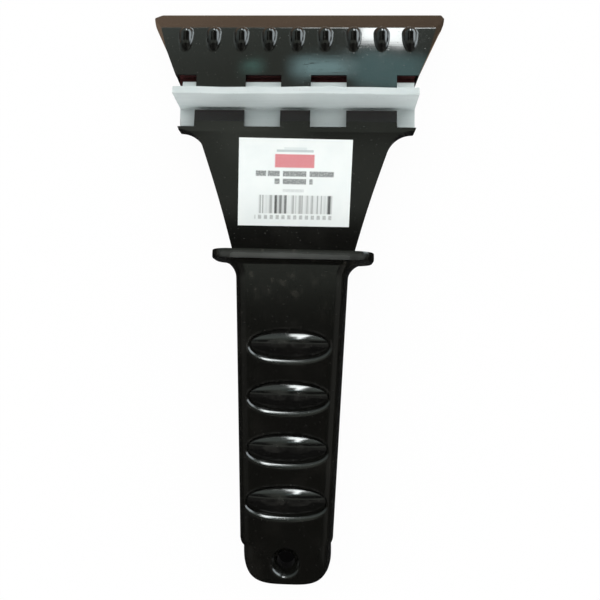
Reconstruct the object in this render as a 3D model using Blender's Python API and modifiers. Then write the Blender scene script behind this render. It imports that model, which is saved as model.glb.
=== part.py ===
"""Ice scraper with a squeegee strip, about 200 mm long, as an assembly of separate pieces.

The scraper lies on its back: X runs across the blade, +Y points from the handle to the
blade's edge and +Z points out of the front. The origin is the middle of the footprint.

A cranked moulding carries the bevelled blade, nine ice-breaking ribs, the slot for the
squeegee strip and the neck. Its tang is clamped between two handle shells by two pegs.
Four domed pads sit in oval seats on the front shell, and a label is stuck on the neck.
"""

import math

import bmesh
import bpy
from mathutils import Matrix, Vector

MM = 0.001

# Clearance between pieces that touch, and how far a cutter runs past what it cuts.
FIT_GAP = 0.3 * MM
OVERRUN = 4.0 * MM

# Lengths along the scraper, stacked from the handle's end to the blade's edge.
TAB_LENGTH = 12.0 * MM
SHELL_LENGTH = 96.4 * MM
GUARD_THICKNESS = 2.55 * MM
NECK_LENGTH = 41.55 * MM
SLOT_BLOCK_LENGTH = 18.9 * MM
PLATE_LENGTH = 28.7 * MM

# Blade head.
PLATE_THICKNESS = 6.0 * MM
BLADE_WIDTH = 105.8 * MM
EDGE_WIDTH = 102.0 * MM
CORNER_LENGTH = 3.2 * MM
SLOT_BLOCK_WIDTH = 83.3 * MM
BEVEL_LENGTH = 7.8 * MM
HONED_LENGTH = 0.8 * MM
EDGE_HEIGHT = 0.4 * MM
HONED_HEIGHT = 1.2 * MM
SIDE_BEVEL_WIDTH = 2.2 * MM
SIDE_BEVEL_LENGTH = 15.0 * MM
SIDE_LAND_HEIGHT = 2.4 * MM

# Ribs behind the edge, each a capsule that sinks into the face towards the handle.
RIB_COUNT = 9
RIB_PITCH = 10.02 * MM
RIB_RADIUS = 2.6 * MM
RIB_SINK = 0.55 * MM
RIB_SETBACK = 0.9 * MM
RIB_LENGTH = 12.0 * MM
RIB_TILT = math.radians(12.0)

# Neck and tang.
NECK_TOP_WIDTH = 68.0 * MM
NECK_END_WIDTH = 42.4 * MM
NECK_FILLET = 6.9 * MM
NECK_DROP = 2.3 * MM
TANG_LENGTH = 55.0 * MM
TANG_WIDTH = 28.0 * MM
TANG_END_WIDTH = 24.0 * MM

# Squeegee strip and the slot that holds its base behind fingers.
STRIP_LENGTH = 82.9 * MM
STRIP_BASE_WIDTH = 17.0 * MM
STRIP_BASE_THICKNESS = 1.8 * MM
LIP_THICKNESS = 2.1 * MM
LIP_HEIGHT = 14.6 * MM
LIP_ROOT_FILLET = 0.6 * MM
SLOT_FLOOR = 1.8 * MM
SLOT_MARGIN = 2.1 * MM
MOUTH_WIDTH = 6.6 * MM
WINDOW_BELOW = 0.7 * MM
WINDOW_ABOVE = 1.7 * MM
CENTRE_FINGER_WIDTH = 10.5 * MM
INNER_WINDOW_WIDTH = 12.6 * MM
SIDE_FINGER_WIDTH = 17.6 * MM

# Handle shells.
HANDLE_DEPTH = 17.5 * MM
HANDLE_TOP_WIDTH = 39.3 * MM
HANDLE_END_WIDTH = 31.4 * MM
HANDLE_EDGE_ROUND = 3.0 * MM
SIDE_WALL = 2.2 * MM
FRONT_WALL = 3.2 * MM
BACK_WALL = 2.2 * MM
GUARD_FILLET = 5.2 * MM
GUARD_WIDTH = 56.0 * MM
GUARD_DEPTH = 20.0 * MM
GUARD_CORNER = 8.0 * MM
GUARD_EDGE_ROUND = 0.8 * MM
TAB_WIDTH = 29.7 * MM
TAB_CORNER = 8.8 * MM
TAB_ROOT = 4.4 * MM
HANG_HOLE_SETBACK = 7.2 * MM
HANG_HOLE_DIAMETER = 6.2 * MM
COUNTERSINK_DIAMETER = 9.6 * MM
COUNTERSINK_DEPTH = 1.7 * MM

# Pegs that pass through the tang.
PEG_DIAMETER = 5.0 * MM
BOSS_DIAMETER = 9.0 * MM
BOSS_ROOT = 0.8 * MM
PEG_SETBACKS = (14.0 * MM, 42.0 * MM)

# Domed pads and their oval seats.
PAD_COUNT = 4
PAD_PITCH = 17.25 * MM
FIRST_PAD_SETBACK = 14.8 * MM
SEAT_LENGTH = 28.4 * MM
SEAT_WIDTH = 10.7 * MM
SEAT_DEPTH = 1.6 * MM
SEAT_SLOPE = 1.1 * MM
PAD_RISE = 0.9 * MM

# Label on the neck.
LABEL_WIDTH = 39.2 * MM
LABEL_HEIGHT = 30.3 * MM
LABEL_THICKNESS = 0.2 * MM
LABEL_CORNER = 0.8 * MM

# Points closer than this are one point, and faces within this angle are one face.
MERGE_DISTANCE = 0.001 * MM
FLAT_ANGLE = math.radians(0.5)

# Edges sharper than the first are shaded sharp, and past the second they are rounded.
SHARP_ANGLE = math.radians(30.0)
BEVEL_ANGLE = math.radians(50.0)

# Facet counts.
ARC_STEPS = 8
EDGE_STEPS = 3
ROUND_STEPS = 32
RIB_SEGMENTS = 16
RIB_RINGS = 8
SEAT_STEPS = 48

# Stations along Y that follow from the lengths above.
TOTAL_LENGTH = (TAB_LENGTH + SHELL_LENGTH + GUARD_THICKNESS + FIT_GAP
                + NECK_LENGTH + SLOT_BLOCK_LENGTH + PLATE_LENGTH)
HANDLE_END = -TOTAL_LENGTH / 2
SHELL_END = HANDLE_END + TAB_LENGTH
GUARD_UNDER = SHELL_END + SHELL_LENGTH
GUARD_TOP = GUARD_UNDER + GUARD_THICKNESS
NECK_END = GUARD_TOP + FIT_GAP
BLOCK_END = NECK_END + NECK_LENGTH
BLOCK_TOP = BLOCK_END + SLOT_BLOCK_LENGTH
TIP = BLOCK_TOP + PLATE_LENGTH

# Heights: the neck's back runs level, its front falls off towards the tang, and the head is
# cranked down from it so that the blade's back edge lies level with the handle's back.
MID_DEPTH = HANDLE_DEPTH / 2
NECK_BACK = MID_DEPTH - PLATE_THICKNESS / 2
NECK_FRONT = MID_DEPTH + PLATE_THICKNESS / 2
TANG_FRONT = NECK_FRONT - NECK_DROP
HEAD_TILT = math.atan2(NECK_BACK, TIP - BLOCK_END)
PLATE_RISE = PLATE_THICKNESS / math.cos(HEAD_TILT)
NECK_BEND = TIP - (NECK_FRONT - PLATE_RISE) / math.tan(HEAD_TILT)
NECK_SLOPE = math.atan2(NECK_DROP, NECK_BEND - NECK_END)
FRONT_PARTING = MID_DEPTH + FIT_GAP / 2
BACK_PARTING = MID_DEPTH - FIT_GAP / 2

# The slot's channel runs along the tilted head with the strip's base in it.
CHANNEL_WIDTH = STRIP_BASE_WIDTH + 2 * FIT_GAP
CHANNEL_HEIGHT = STRIP_BASE_THICKNESS + 2 * FIT_GAP
SLOT_CENTRE = BLOCK_END + SLOT_MARGIN + CHANNEL_WIDTH / 2


def empty_scene():
    """Remove whatever the open file holds."""
    for old in list(bpy.data.objects):
        bpy.data.objects.remove(old, do_unlink=True)


def new_collection(name):
    """Make a collection in the scene."""
    made = bpy.data.collections.new(name)
    bpy.context.scene.collection.children.link(made)
    return made


def plastic(name, colour, roughness):
    """Return a Principled BSDF material without metal."""
    made = bpy.data.materials.new(name)
    made.use_nodes = True
    shader = made.node_tree.nodes["Principled BSDF"]
    shader.inputs["Base Color"].default_value = (*colour, 1.0)
    shader.inputs["Roughness"].default_value = roughness
    shader.inputs["Metallic"].default_value = 0.0
    made.diffuse_color = (*colour, 1.0)
    return made


def head_frame():
    """Return the matrix of the tilted head: origin on the back of the edge, Z out of its front."""
    return Matrix.Translation((0.0, TIP, 0.0)) @ Matrix.Rotation(-HEAD_TILT, 4, "X")


def head_station(y):
    """Turn a station along Y into a distance along the tilted head, negative from the edge."""
    return (y - TIP) / math.cos(HEAD_TILT)


def plate_back(y):
    """Height of the tilted plate's back at a station."""
    return (TIP - y) * math.tan(HEAD_TILT)


def plate_front(y):
    """Height of the tilted plate's front at a station."""
    return plate_back(y) + PLATE_RISE


def arc(centre, radius, start, end, steps):
    """Points of an arc between two angles in degrees, both ends included."""
    points = []
    for step in range(steps + 1):
        angle = math.radians(start + (end - start) * step / steps)
        points.append((centre[0] + radius * math.cos(angle),
                       centre[1] + radius * math.sin(angle)))
    return points


def mirrored(half):
    """Close an outline whose right half runs from bottom to top."""
    return half + [(-x, y) for x, y in reversed(half) if x > 0.0]


def rounded_rectangle(width, height, radius):
    """Outline of a rectangle with round corners about the origin."""
    across = width / 2 - radius
    up = height / 2 - radius
    points = []
    for corner, (side_x, side_y) in enumerate(((1, 1), (-1, 1), (-1, -1), (1, -1))):
        start = 90 * corner
        points += arc((side_x * across, side_y * up), radius, start, start + 90, ARC_STEPS)
    return points


def link_mesh(name, mesh, material=None):
    """Make an object of a mesh in the part's collection, or in the cutters' collection."""
    made = bpy.data.objects.new(name, mesh)
    if material is None:
        cutters.objects.link(made)
        made.hide_render = True
        made.display_type = "WIRE"
        return made
    part.objects.link(made)
    mesh.materials.clear()
    mesh.materials.append(material)
    return made


def smooth(mesh):
    """Shade a mesh smooth, with its sharper edges kept sharp."""
    mesh.shade_smooth()
    mesh.set_sharp_from_angle(angle=SHARP_ANGLE)


def prism(name, outline, low, high, axis="Z", material=None, frame=None):
    """Extrude a flat outline between two places along an axis and return its closed mesh.

    The outline's plane is XY for axis Z, YZ for axis X and XZ for axis Y.
    """
    curve = bpy.data.curves.new(name, "CURVE")
    curve.dimensions = "2D"
    curve.fill_mode = "BOTH"
    curve.extrude = (high - low) / 2
    spline = curve.splines.new("POLY")
    spline.points.add(len(outline) - 1)
    for point, (across, up) in zip(spline.points, outline):
        point.co = (across, up, 0.0, 1.0)
    spline.use_cyclic_u = True
    guide = bpy.data.objects.new(name, curve)
    bpy.context.scene.collection.objects.link(guide)
    middle = (high + low) / 2
    turns = {
        "Z": Matrix.Translation((0.0, 0.0, middle)),
        "X": Matrix.Translation((middle, 0.0, 0.0)) @ Matrix(
            ((0, 0, 1, 0), (1, 0, 0, 0), (0, 1, 0, 0), (0, 0, 0, 1))),
        "Y": Matrix.Translation((0.0, middle, 0.0)) @ Matrix(
            ((1, 0, 0, 0), (0, 0, -1, 0), (0, 1, 0, 0), (0, 0, 0, 1))),
    }
    bpy.context.view_layer.update()
    mesh = bpy.data.meshes.new_from_object(guide.evaluated_get(bpy.context.evaluated_depsgraph_get()))
    bpy.data.objects.remove(guide, do_unlink=True)
    weld = bmesh.new()
    weld.from_mesh(mesh)
    bmesh.ops.remove_doubles(weld, verts=weld.verts, dist=MERGE_DISTANCE)
    bmesh.ops.dissolve_limit(weld, angle_limit=FLAT_ANGLE, verts=weld.verts, edges=weld.edges)
    bmesh.ops.recalc_face_normals(weld, faces=weld.faces)
    bmesh.ops.transform(weld, matrix=turns[axis], verts=weld.verts)
    weld.to_mesh(mesh)
    weld.free()
    smooth(mesh)
    made = link_mesh(name, mesh, material)
    if frame is not None:
        made.matrix_world = frame
    return made


def box(name, low, high, frame=None):
    """Make a cutter box between two corners, in the given frame."""
    mesh = bpy.data.meshes.new(name)
    shape = bmesh.new()
    bmesh.ops.create_cube(shape, size=1.0)
    size = [top - bottom for bottom, top in zip(low, high)]
    middle = [(top + bottom) / 2 for bottom, top in zip(low, high)]
    bmesh.ops.transform(shape, matrix=Matrix.Translation(middle) @ Matrix.Diagonal((*size, 1.0)),
                        verts=shape.verts)
    shape.to_mesh(mesh)
    shape.free()
    made = link_mesh(name, mesh)
    if frame is not None:
        made.matrix_world = frame
    return made


def round_bar(name, x, y, low, high, low_diameter, high_diameter=None):
    """Make an upright cylinder or cone between two heights, for a boss, a peg or a bore."""
    mesh = bpy.data.meshes.new(name)
    shape = bmesh.new()
    bmesh.ops.create_cone(shape, cap_ends=True, segments=ROUND_STEPS, radius1=low_diameter / 2,
                          radius2=(high_diameter or low_diameter) / 2, depth=high - low)
    bmesh.ops.translate(shape, vec=(x, y, (low + high) / 2), verts=shape.verts)
    shape.to_mesh(mesh)
    shape.free()
    smooth(mesh)
    return link_mesh(name, mesh)


def bevel(piece, width, segments):
    """Round the piece's sharp edges."""
    rounding = piece.modifiers.new("rounded edges", "BEVEL")
    rounding.width = width
    rounding.segments = segments
    rounding.limit_method = "ANGLE"
    rounding.angle_limit = BEVEL_ANGLE
    rounding.use_clamp_overlap = True


def combine(piece, other, operation):
    """Cut, join or intersect a piece with another object."""
    step = piece.modifiers.new(operation.lower() + " " + other.name, "BOOLEAN")
    step.operation = operation
    step.object = other
    step.solver = "EXACT"


def head_outline():
    """Plan of the head: tang, neck, slot block and blade, seen from the front."""
    half_end = NECK_END_WIDTH / 2
    half_top = NECK_TOP_WIDTH / 2
    slope = math.atan2(half_top - half_end, NECK_LENGTH)
    tangent = NECK_FILLET * math.tan((math.pi / 2 - slope) / 2)
    centre = (half_top + tangent, BLOCK_END - NECK_FILLET)
    fillet = arc(centre, NECK_FILLET, 180 - math.degrees(slope), 90, ARC_STEPS)
    half = [
        (TANG_END_WIDTH / 2, NECK_END - TANG_LENGTH),
        (TANG_WIDTH / 2, NECK_END),
        (half_end, NECK_END),
        *fillet,
        (SLOT_BLOCK_WIDTH / 2, BLOCK_END),
        (SLOT_BLOCK_WIDTH / 2, BLOCK_TOP),
        (BLADE_WIDTH / 2, TIP - CORNER_LENGTH),
        (EDGE_WIDTH / 2, TIP),
        (EDGE_WIDTH / 2, TIP + OVERRUN),
    ]
    return mirrored(half)


def head_profile():
    """Side view of the head: level tang, rising neck, then the tilted plate with its bevel."""
    bevel_start = TIP - BEVEL_LENGTH
    tang_end = NECK_END - TANG_LENGTH - OVERRUN
    return [
        (tang_end, NECK_BACK),
        (BLOCK_END, NECK_BACK),
        (TIP, 0.0),
        (TIP, EDGE_HEIGHT),
        (TIP - HONED_LENGTH, HONED_HEIGHT),
        (bevel_start, plate_front(bevel_start)),
        (NECK_BEND, NECK_FRONT),
        (NECK_END, TANG_FRONT),
        (tang_end, TANG_FRONT),
    ]


def side_bevel_cutter(side):
    """A wedge that takes off the front corner along one slanted side of the blade."""
    slant = Vector((side * (BLADE_WIDTH - SLOT_BLOCK_WIDTH) / 2, PLATE_LENGTH - CORNER_LENGTH, 0.0))
    slant.normalize()
    inward = Vector((-side * slant.y, abs(slant.x), 0.0))
    corner = Vector((side * BLADE_WIDTH / 2, TIP - CORNER_LENGTH, 0.0))
    low = corner + Vector((0.0, 0.0, SIDE_LAND_HEIGHT))
    top = corner + inward * SIDE_BEVEL_WIDTH
    top.z = plate_front(top.y)
    far = corner - slant * SIDE_BEVEL_LENGTH
    far.z = plate_front(far.y)
    across = (top - low).normalized()
    normal = across.cross(far - low).normalized()
    if normal.x * side < 0.0:
        normal = -normal
    along = normal.cross(across)
    facing = Matrix((across, along, normal)).transposed().to_4x4()
    reach = SIDE_BEVEL_LENGTH + OVERRUN
    place = Matrix.Translation(low) @ facing
    return box("side_bevel_cut", (-reach, -reach, 0.0), (reach, reach, PLATE_THICKNESS), place)


def rib_capsule(index):
    """One ice-breaking rib: a capsule whose tail sinks below the blade's face."""
    mesh = bpy.data.meshes.new("rib")
    shape = bmesh.new()
    bmesh.ops.create_uvsphere(shape, u_segments=RIB_SEGMENTS, v_segments=RIB_RINGS, radius=RIB_RADIUS)
    bmesh.ops.rotate(shape, cent=(0.0, 0.0, 0.0), matrix=Matrix.Rotation(math.pi / 2, 3, "X"),
                     verts=shape.verts)
    for vert in shape.verts:
        if vert.co.y < -MERGE_DISTANCE:
            vert.co.y -= RIB_LENGTH
    shape.to_mesh(mesh)
    shape.free()
    smooth(mesh)
    made = link_mesh("rib_shape", mesh)
    across = (index - (RIB_COUNT - 1) / 2) * RIB_PITCH
    along = head_station(TIP - BEVEL_LENGTH - RIB_SETBACK) - RIB_RADIUS
    place = Matrix.Translation((across, along, PLATE_THICKNESS - RIB_SINK))
    made.matrix_world = head_frame() @ place @ Matrix.Rotation(RIB_TILT, 4, "X")
    return made


def finger_gaps():
    """Plan of the openings in the slot's front: the mouth with its windows, in the tilted head."""
    middle = head_station(SLOT_CENTRE)
    mouth = MOUTH_WIDTH / 2
    window_top = middle + CHANNEL_WIDTH / 2 + WINDOW_ABOVE
    window_low = middle - CHANNEL_WIDTH / 2 - WINDOW_BELOW
    inner_start = CENTRE_FINGER_WIDTH / 2
    inner_end = inner_start + INNER_WINDOW_WIDTH
    outer_start = inner_end + SIDE_FINGER_WIDTH
    reach = SLOT_BLOCK_WIDTH / 2 + OVERRUN
    edges = [-reach, -outer_start, -inner_end, -inner_start, inner_start, inner_end, outer_start, reach]
    lower = []
    upper = []
    for place, (left, right) in enumerate(zip(edges, edges[1:])):
        is_window = place % 2 == 0
        low = window_low if is_window else middle - mouth
        top = window_top if is_window else middle + mouth
        lower += [(left, low), (right, low)]
        upper += [(left, top), (right, top)]
    return lower + upper[::-1]


def slot_cutters():
    """The channel for the strip's base, and the openings between the fingers above it."""
    frame = head_frame()
    middle = head_station(SLOT_CENTRE)
    reach = SLOT_BLOCK_WIDTH / 2 + OVERRUN
    half = CHANNEL_WIDTH / 2
    channel = box("channel_cut", (-reach, middle - half, SLOT_FLOOR),
                  (reach, middle + half, SLOT_FLOOR + CHANNEL_HEIGHT), frame)
    gaps = prism("finger_gaps", finger_gaps(), SLOT_FLOOR + CHANNEL_HEIGHT / 2,
                 PLATE_THICKNESS + OVERRUN, "Z", frame=frame)
    return channel, gaps


def make_head(material):
    """Blade, slot block, neck and tang in one moulding."""
    head = prism("scraper_head", head_outline(), -OVERRUN, HANDLE_DEPTH, "Z", material)
    reach = BLADE_WIDTH / 2 + OVERRUN
    combine(head, prism("head_side_view", head_profile(), -reach, reach, "X"), "INTERSECT")
    for side in (1, -1):
        combine(head, side_bevel_cutter(side), "DIFFERENCE")
    for index in range(RIB_COUNT):
        combine(head, rib_capsule(index), "UNION")
    for cutter in slot_cutters():
        combine(head, cutter, "DIFFERENCE")
    for setback in PEG_SETBACKS:
        bore = round_bar("tang_bore", 0.0, GUARD_TOP - setback, -OVERRUN, HANDLE_DEPTH + OVERRUN,
                         PEG_DIAMETER + 2 * FIT_GAP)
        combine(head, bore, "DIFFERENCE")
    return head


def strip_profile():
    """Section of the squeegee strip: a flat base with the wiping lip standing on it."""
    base = STRIP_BASE_WIDTH / 2
    lip = LIP_THICKNESS / 2
    top = STRIP_BASE_THICKNESS
    root = arc((lip + LIP_ROOT_FILLET, top + LIP_ROOT_FILLET), LIP_ROOT_FILLET, 270, 180, EDGE_STEPS)
    half = [(base, 0.0), (base, top), *root, (lip, LIP_HEIGHT)]
    return mirrored(half)


def make_strip(material):
    """Squeegee strip, free to slide along the slot."""
    half = STRIP_LENGTH / 2
    strip = prism("squeegee_strip", strip_profile(), -half, half, "X", material)
    place = Matrix.Translation((0.0, head_station(SLOT_CENTRE), SLOT_FLOOR + FIT_GAP))
    strip.matrix_world = head_frame() @ place
    return strip


def half_width(y):
    """Half of the handle's width at a station."""
    share = (y - SHELL_END) / SHELL_LENGTH
    return (HANDLE_END_WIDTH + (HANDLE_TOP_WIDTH - HANDLE_END_WIDTH) * share) / 2


def handle_outline():
    """Plan of the hollow handle, flaring out under the guard."""
    flare = GUARD_UNDER - GUARD_FILLET
    side = half_width(flare)
    fillet = arc((side + GUARD_FILLET, flare), GUARD_FILLET, 180, 90, ARC_STEPS)
    inside_guard = GUARD_TOP - GUARD_EDGE_ROUND / 2
    return mirrored([(half_width(SHELL_END), SHELL_END), *fillet, (side + GUARD_FILLET, inside_guard)])


def hollow_outline():
    """Plan of the space inside the handle."""
    start = SHELL_END + SIDE_WALL
    end = GUARD_UNDER - SIDE_WALL
    return mirrored([(half_width(start) - SIDE_WALL, start), (half_width(end) - SIDE_WALL, end)])


def tab_outline():
    """Plan of the hanging tab, with its inner end inside the handle."""
    across = TAB_WIDTH / 2 - TAB_CORNER
    corner = arc((across, HANDLE_END + TAB_CORNER), TAB_CORNER, 270, 360, ARC_STEPS)
    return mirrored([*corner, (TAB_WIDTH / 2, SHELL_END + TAB_ROOT)])


def handle_blank(name, material):
    """The handle's outer form with its guard, before it is parted and hollowed."""
    blank = prism(name, handle_outline(), 0.0, HANDLE_DEPTH, "Z", material)
    bevel(blank, HANDLE_EDGE_ROUND, EDGE_STEPS)
    outline = [(x, z + GUARD_DEPTH / 2)
               for x, z in rounded_rectangle(GUARD_WIDTH, GUARD_DEPTH, GUARD_CORNER)]
    guard = prism(name + "_guard", outline, GUARD_UNDER, GUARD_TOP, "Y")
    bevel(guard, GUARD_EDGE_ROUND, EDGE_STEPS)
    combine(blank, guard, "UNION")
    return blank


def cut_inside(shell, name):
    """Hollow a shell and open the guard for the tang."""
    hollow = prism(name + "_hollow", hollow_outline(), BACK_WALL, HANDLE_DEPTH - FRONT_WALL, "Z")
    combine(shell, hollow, "DIFFERENCE")
    half_tang = TANG_WIDTH / 2 + FIT_GAP
    opening = box(name + "_tang_opening",
                  (-half_tang, GUARD_UNDER - SIDE_WALL - OVERRUN, NECK_BACK - FIT_GAP),
                  (half_tang, GUARD_TOP + OVERRUN, TANG_FRONT + FIT_GAP))
    combine(shell, opening, "DIFFERENCE")


def keep_between(shell, name, low, high):
    """Keep only the part of a shell between two heights."""
    reach = GUARD_WIDTH / 2 + OVERRUN
    block = box(name + "_half", (-reach, HANDLE_END - OVERRUN, low), (reach, GUARD_TOP + OVERRUN, high))
    combine(shell, block, "INTERSECT")


def seat_cutter(y):
    """Oval seat with sloping walls for one pad."""
    mesh = bpy.data.meshes.new("seat")
    shape = bmesh.new()
    height = SEAT_DEPTH + OVERRUN
    bmesh.ops.create_cone(shape, cap_ends=True, segments=SEAT_STEPS, radius1=SEAT_LENGTH,
                          radius2=SEAT_LENGTH, depth=height)
    bmesh.ops.translate(shape, vec=(0.0, 0.0, HANDLE_DEPTH - SEAT_DEPTH + height / 2), verts=shape.verts)
    spread = SEAT_SLOPE * height / SEAT_DEPTH
    for vert in shape.verts:
        grow = spread - SEAT_SLOPE if vert.co.z > HANDLE_DEPTH else -SEAT_SLOPE
        angle = math.atan2(vert.co.y, vert.co.x)
        vert.co.x = (SEAT_LENGTH / 2 + grow) * math.cos(angle)
        vert.co.y = y + (SEAT_WIDTH / 2 + grow) * math.sin(angle)
    shape.to_mesh(mesh)
    shape.free()
    smooth(mesh)
    return link_mesh("seat_cut", mesh)


def pad_stations():
    """Places of the pads, from the guard towards the handle's end."""
    first = HANDLE_END + FIRST_PAD_SETBACK + TAB_LENGTH
    return [first + index * PAD_PITCH for index in reversed(range(PAD_COUNT))]


def make_front_shell(material):
    """Front half of the handle, with the pad seats and the hanging tab."""
    shell = handle_blank("handle_front_shell", material)
    tab = prism("tab", tab_outline(), FRONT_PARTING, HANDLE_DEPTH, "Z")
    bevel(tab, HANDLE_EDGE_ROUND, EDGE_STEPS)
    combine(shell, tab, "UNION")
    keep_between(shell, "front", FRONT_PARTING, GUARD_DEPTH + OVERRUN)
    cut_inside(shell, "front")
    inner_face = HANDLE_DEPTH - FRONT_WALL
    for setback in PEG_SETBACKS:
        y = GUARD_TOP - setback
        boss = round_bar("front_boss", 0.0, y, TANG_FRONT + FIT_GAP, inner_face + BOSS_ROOT,
                         BOSS_DIAMETER)
        combine(shell, boss, "UNION")
        socket = round_bar("peg_socket", 0.0, y, MID_DEPTH, inner_face, PEG_DIAMETER + 2 * FIT_GAP)
        combine(shell, socket, "DIFFERENCE")
    for y in pad_stations():
        combine(shell, seat_cutter(y), "DIFFERENCE")
    hole = HANDLE_END + HANG_HOLE_SETBACK
    bore = round_bar("hang_bore", 0.0, hole, 0.0, GUARD_DEPTH + OVERRUN, HANG_HOLE_DIAMETER)
    combine(shell, bore, "DIFFERENCE")
    widening = (COUNTERSINK_DIAMETER - HANG_HOLE_DIAMETER) / COUNTERSINK_DEPTH
    sink = round_bar("hang_countersink", 0.0, hole, HANDLE_DEPTH - COUNTERSINK_DEPTH,
                     HANDLE_DEPTH + OVERRUN, HANG_HOLE_DIAMETER,
                     COUNTERSINK_DIAMETER + widening * OVERRUN)
    combine(shell, sink, "DIFFERENCE")
    return shell


def make_back_shell(material):
    """Back half of the handle, with the pegs that hold the tang."""
    shell = handle_blank("handle_back_shell", material)
    keep_between(shell, "back", -OVERRUN, BACK_PARTING)
    cut_inside(shell, "back")
    for setback in PEG_SETBACKS:
        y = GUARD_TOP - setback
        boss = round_bar("back_boss", 0.0, y, BACK_WALL - BOSS_ROOT, NECK_BACK - FIT_GAP,
                         BOSS_DIAMETER)
        combine(shell, boss, "UNION")
        peg = round_bar("peg", 0.0, y, BACK_WALL, HANDLE_DEPTH - FRONT_WALL - FIT_GAP, PEG_DIAMETER)
        combine(shell, peg, "UNION")
    return shell


def make_pads(material):
    """Four domed pads, each resting on the floor of its seat."""
    base = HANDLE_DEPTH - SEAT_DEPTH + FIT_GAP
    crown = HANDLE_DEPTH + PAD_RISE - base
    half_length = SEAT_LENGTH / 2 - SEAT_SLOPE - FIT_GAP
    half_across = SEAT_WIDTH / 2 - SEAT_SLOPE - FIT_GAP
    shape = bmesh.new()
    bmesh.ops.create_uvsphere(shape, u_segments=SEAT_STEPS, v_segments=RIB_RINGS * 2, radius=1.0)
    bmesh.ops.scale(shape, vec=(half_length, half_across, crown), verts=shape.verts)
    cut = bmesh.ops.bisect_plane(shape, geom=shape.verts[:] + shape.edges[:] + shape.faces[:],
                                 dist=MERGE_DISTANCE, plane_co=(0.0, 0.0, 0.0),
                                 plane_no=(0.0, 0.0, -1.0), clear_outer=True)
    rim = [item for item in cut["geom_cut"] if isinstance(item, bmesh.types.BMEdge)]
    bmesh.ops.contextual_create(shape, geom=rim)
    bmesh.ops.recalc_face_normals(shape, faces=shape.faces)
    mesh = bpy.data.meshes.new("grip_pad")
    shape.to_mesh(mesh)
    shape.free()
    smooth(mesh)
    for number, y in enumerate(pad_stations(), start=1):
        pad = link_mesh("grip_pad_%d" % number, mesh, material)
        pad.location = (0.0, y, base)


def make_label(material):
    """Paper label on the sloping front of the neck."""
    outline = rounded_rectangle(LABEL_WIDTH, LABEL_HEIGHT, LABEL_CORNER)
    label = prism("neck_label", outline, FIT_GAP, FIT_GAP + LABEL_THICKNESS, "Z", material)
    middle = BLOCK_END - SLOT_MARGIN - LABEL_HEIGHT / 2
    height = NECK_FRONT - (NECK_BEND - middle) * math.tan(NECK_SLOPE)
    label.matrix_world = Matrix.Translation((0.0, middle, height)) @ Matrix.Rotation(NECK_SLOPE, 4, "X")
    return label


empty_scene()
part = new_collection("ice scraper")
cutters = new_collection("cutters")
black_plastic = plastic("black plastic", (0.012, 0.012, 0.013), 0.22)
grip_plastic = plastic("black grip", (0.015, 0.015, 0.016), 0.28)
grey_rubber = plastic("grey rubber", (0.46, 0.53, 0.53), 0.6)
white_paper = plastic("white paper", (0.86, 0.86, 0.85), 0.7)

make_head(black_plastic)
make_strip(grey_rubber)
make_front_shell(black_plastic)
make_back_shell(black_plastic)
make_pads(grip_plastic)
make_label(white_paper)
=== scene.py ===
"""Looks of the ice scraper: every shell, the rubber strip, the pads and the label in full detail.

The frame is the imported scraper: it lies on its back, X across the blade, +Y towards the
blade's edge, +Z out of the front. Lengths below are real sizes in millimetres times MM.
"""

import math
from contextlib import contextmanager
from functools import reduce

import bmesh
import bpy
from mathutils import Matrix, Vector


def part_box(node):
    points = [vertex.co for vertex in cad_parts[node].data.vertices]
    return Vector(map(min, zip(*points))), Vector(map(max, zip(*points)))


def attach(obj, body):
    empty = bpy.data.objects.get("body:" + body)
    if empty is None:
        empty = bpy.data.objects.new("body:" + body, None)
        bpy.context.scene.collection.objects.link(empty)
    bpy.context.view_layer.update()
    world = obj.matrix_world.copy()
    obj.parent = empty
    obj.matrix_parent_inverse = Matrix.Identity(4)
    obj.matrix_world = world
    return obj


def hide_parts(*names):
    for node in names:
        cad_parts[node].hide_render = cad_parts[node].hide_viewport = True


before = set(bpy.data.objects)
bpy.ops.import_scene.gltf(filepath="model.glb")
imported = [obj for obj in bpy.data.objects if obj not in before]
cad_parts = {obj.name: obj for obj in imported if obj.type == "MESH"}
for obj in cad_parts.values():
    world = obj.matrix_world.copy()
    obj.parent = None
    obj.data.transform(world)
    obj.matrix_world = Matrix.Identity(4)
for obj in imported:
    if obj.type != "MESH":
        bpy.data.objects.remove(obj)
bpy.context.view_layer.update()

MM = 0.001
FIT_GAP = 0.3 * MM
OVERRUN = 4.0 * MM
MERGE_DISTANCE = 0.002 * MM
FLAT_ANGLE = math.radians(0.05)
SHARP_ANGLE = math.radians(38.0)

# Stations along the scraper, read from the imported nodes.
HEAD_LOW, HEAD_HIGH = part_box("scraper_head")
SHELL_LOW, SHELL_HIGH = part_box("handle_back_shell")
FRONT_LOW, FRONT_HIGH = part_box("handle_front_shell")
TIP = HEAD_HIGH.y
TANG_END = HEAD_LOW.y
TAB_END = FRONT_LOW.y
SHELL_END = SHELL_LOW.y
GUARD_TOP = SHELL_HIGH.y
GUARD_DEPTH = FRONT_HIGH.z
FRONT_PARTING = FRONT_LOW.z
BACK_PARTING = FRONT_PARTING - FIT_GAP
GUARD_HALF_WIDTH = SHELL_HIGH.x

# Handle.
HANDLE_DEPTH = 17.5 * MM
MID_DEPTH = HANDLE_DEPTH / 2
GUARD_THICKNESS = 3.05 * MM
GUARD_UNDER = GUARD_TOP - GUARD_THICKNESS
HANDLE_TOP_WIDTH = 39.3 * MM
HANDLE_END_WIDTH = 31.4 * MM
END_ROUND = 2.4 * MM
PLAN_FILLET = 6.2 * MM
FACE_FILLET = 1.35 * MM
BACK_CORNER = 2.6 * MM
SIDE_WALL = 2.2 * MM
FRONT_WALL = 3.2 * MM
BACK_WALL = 2.2 * MM
PART_EDGE = 0.16 * MM

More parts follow.
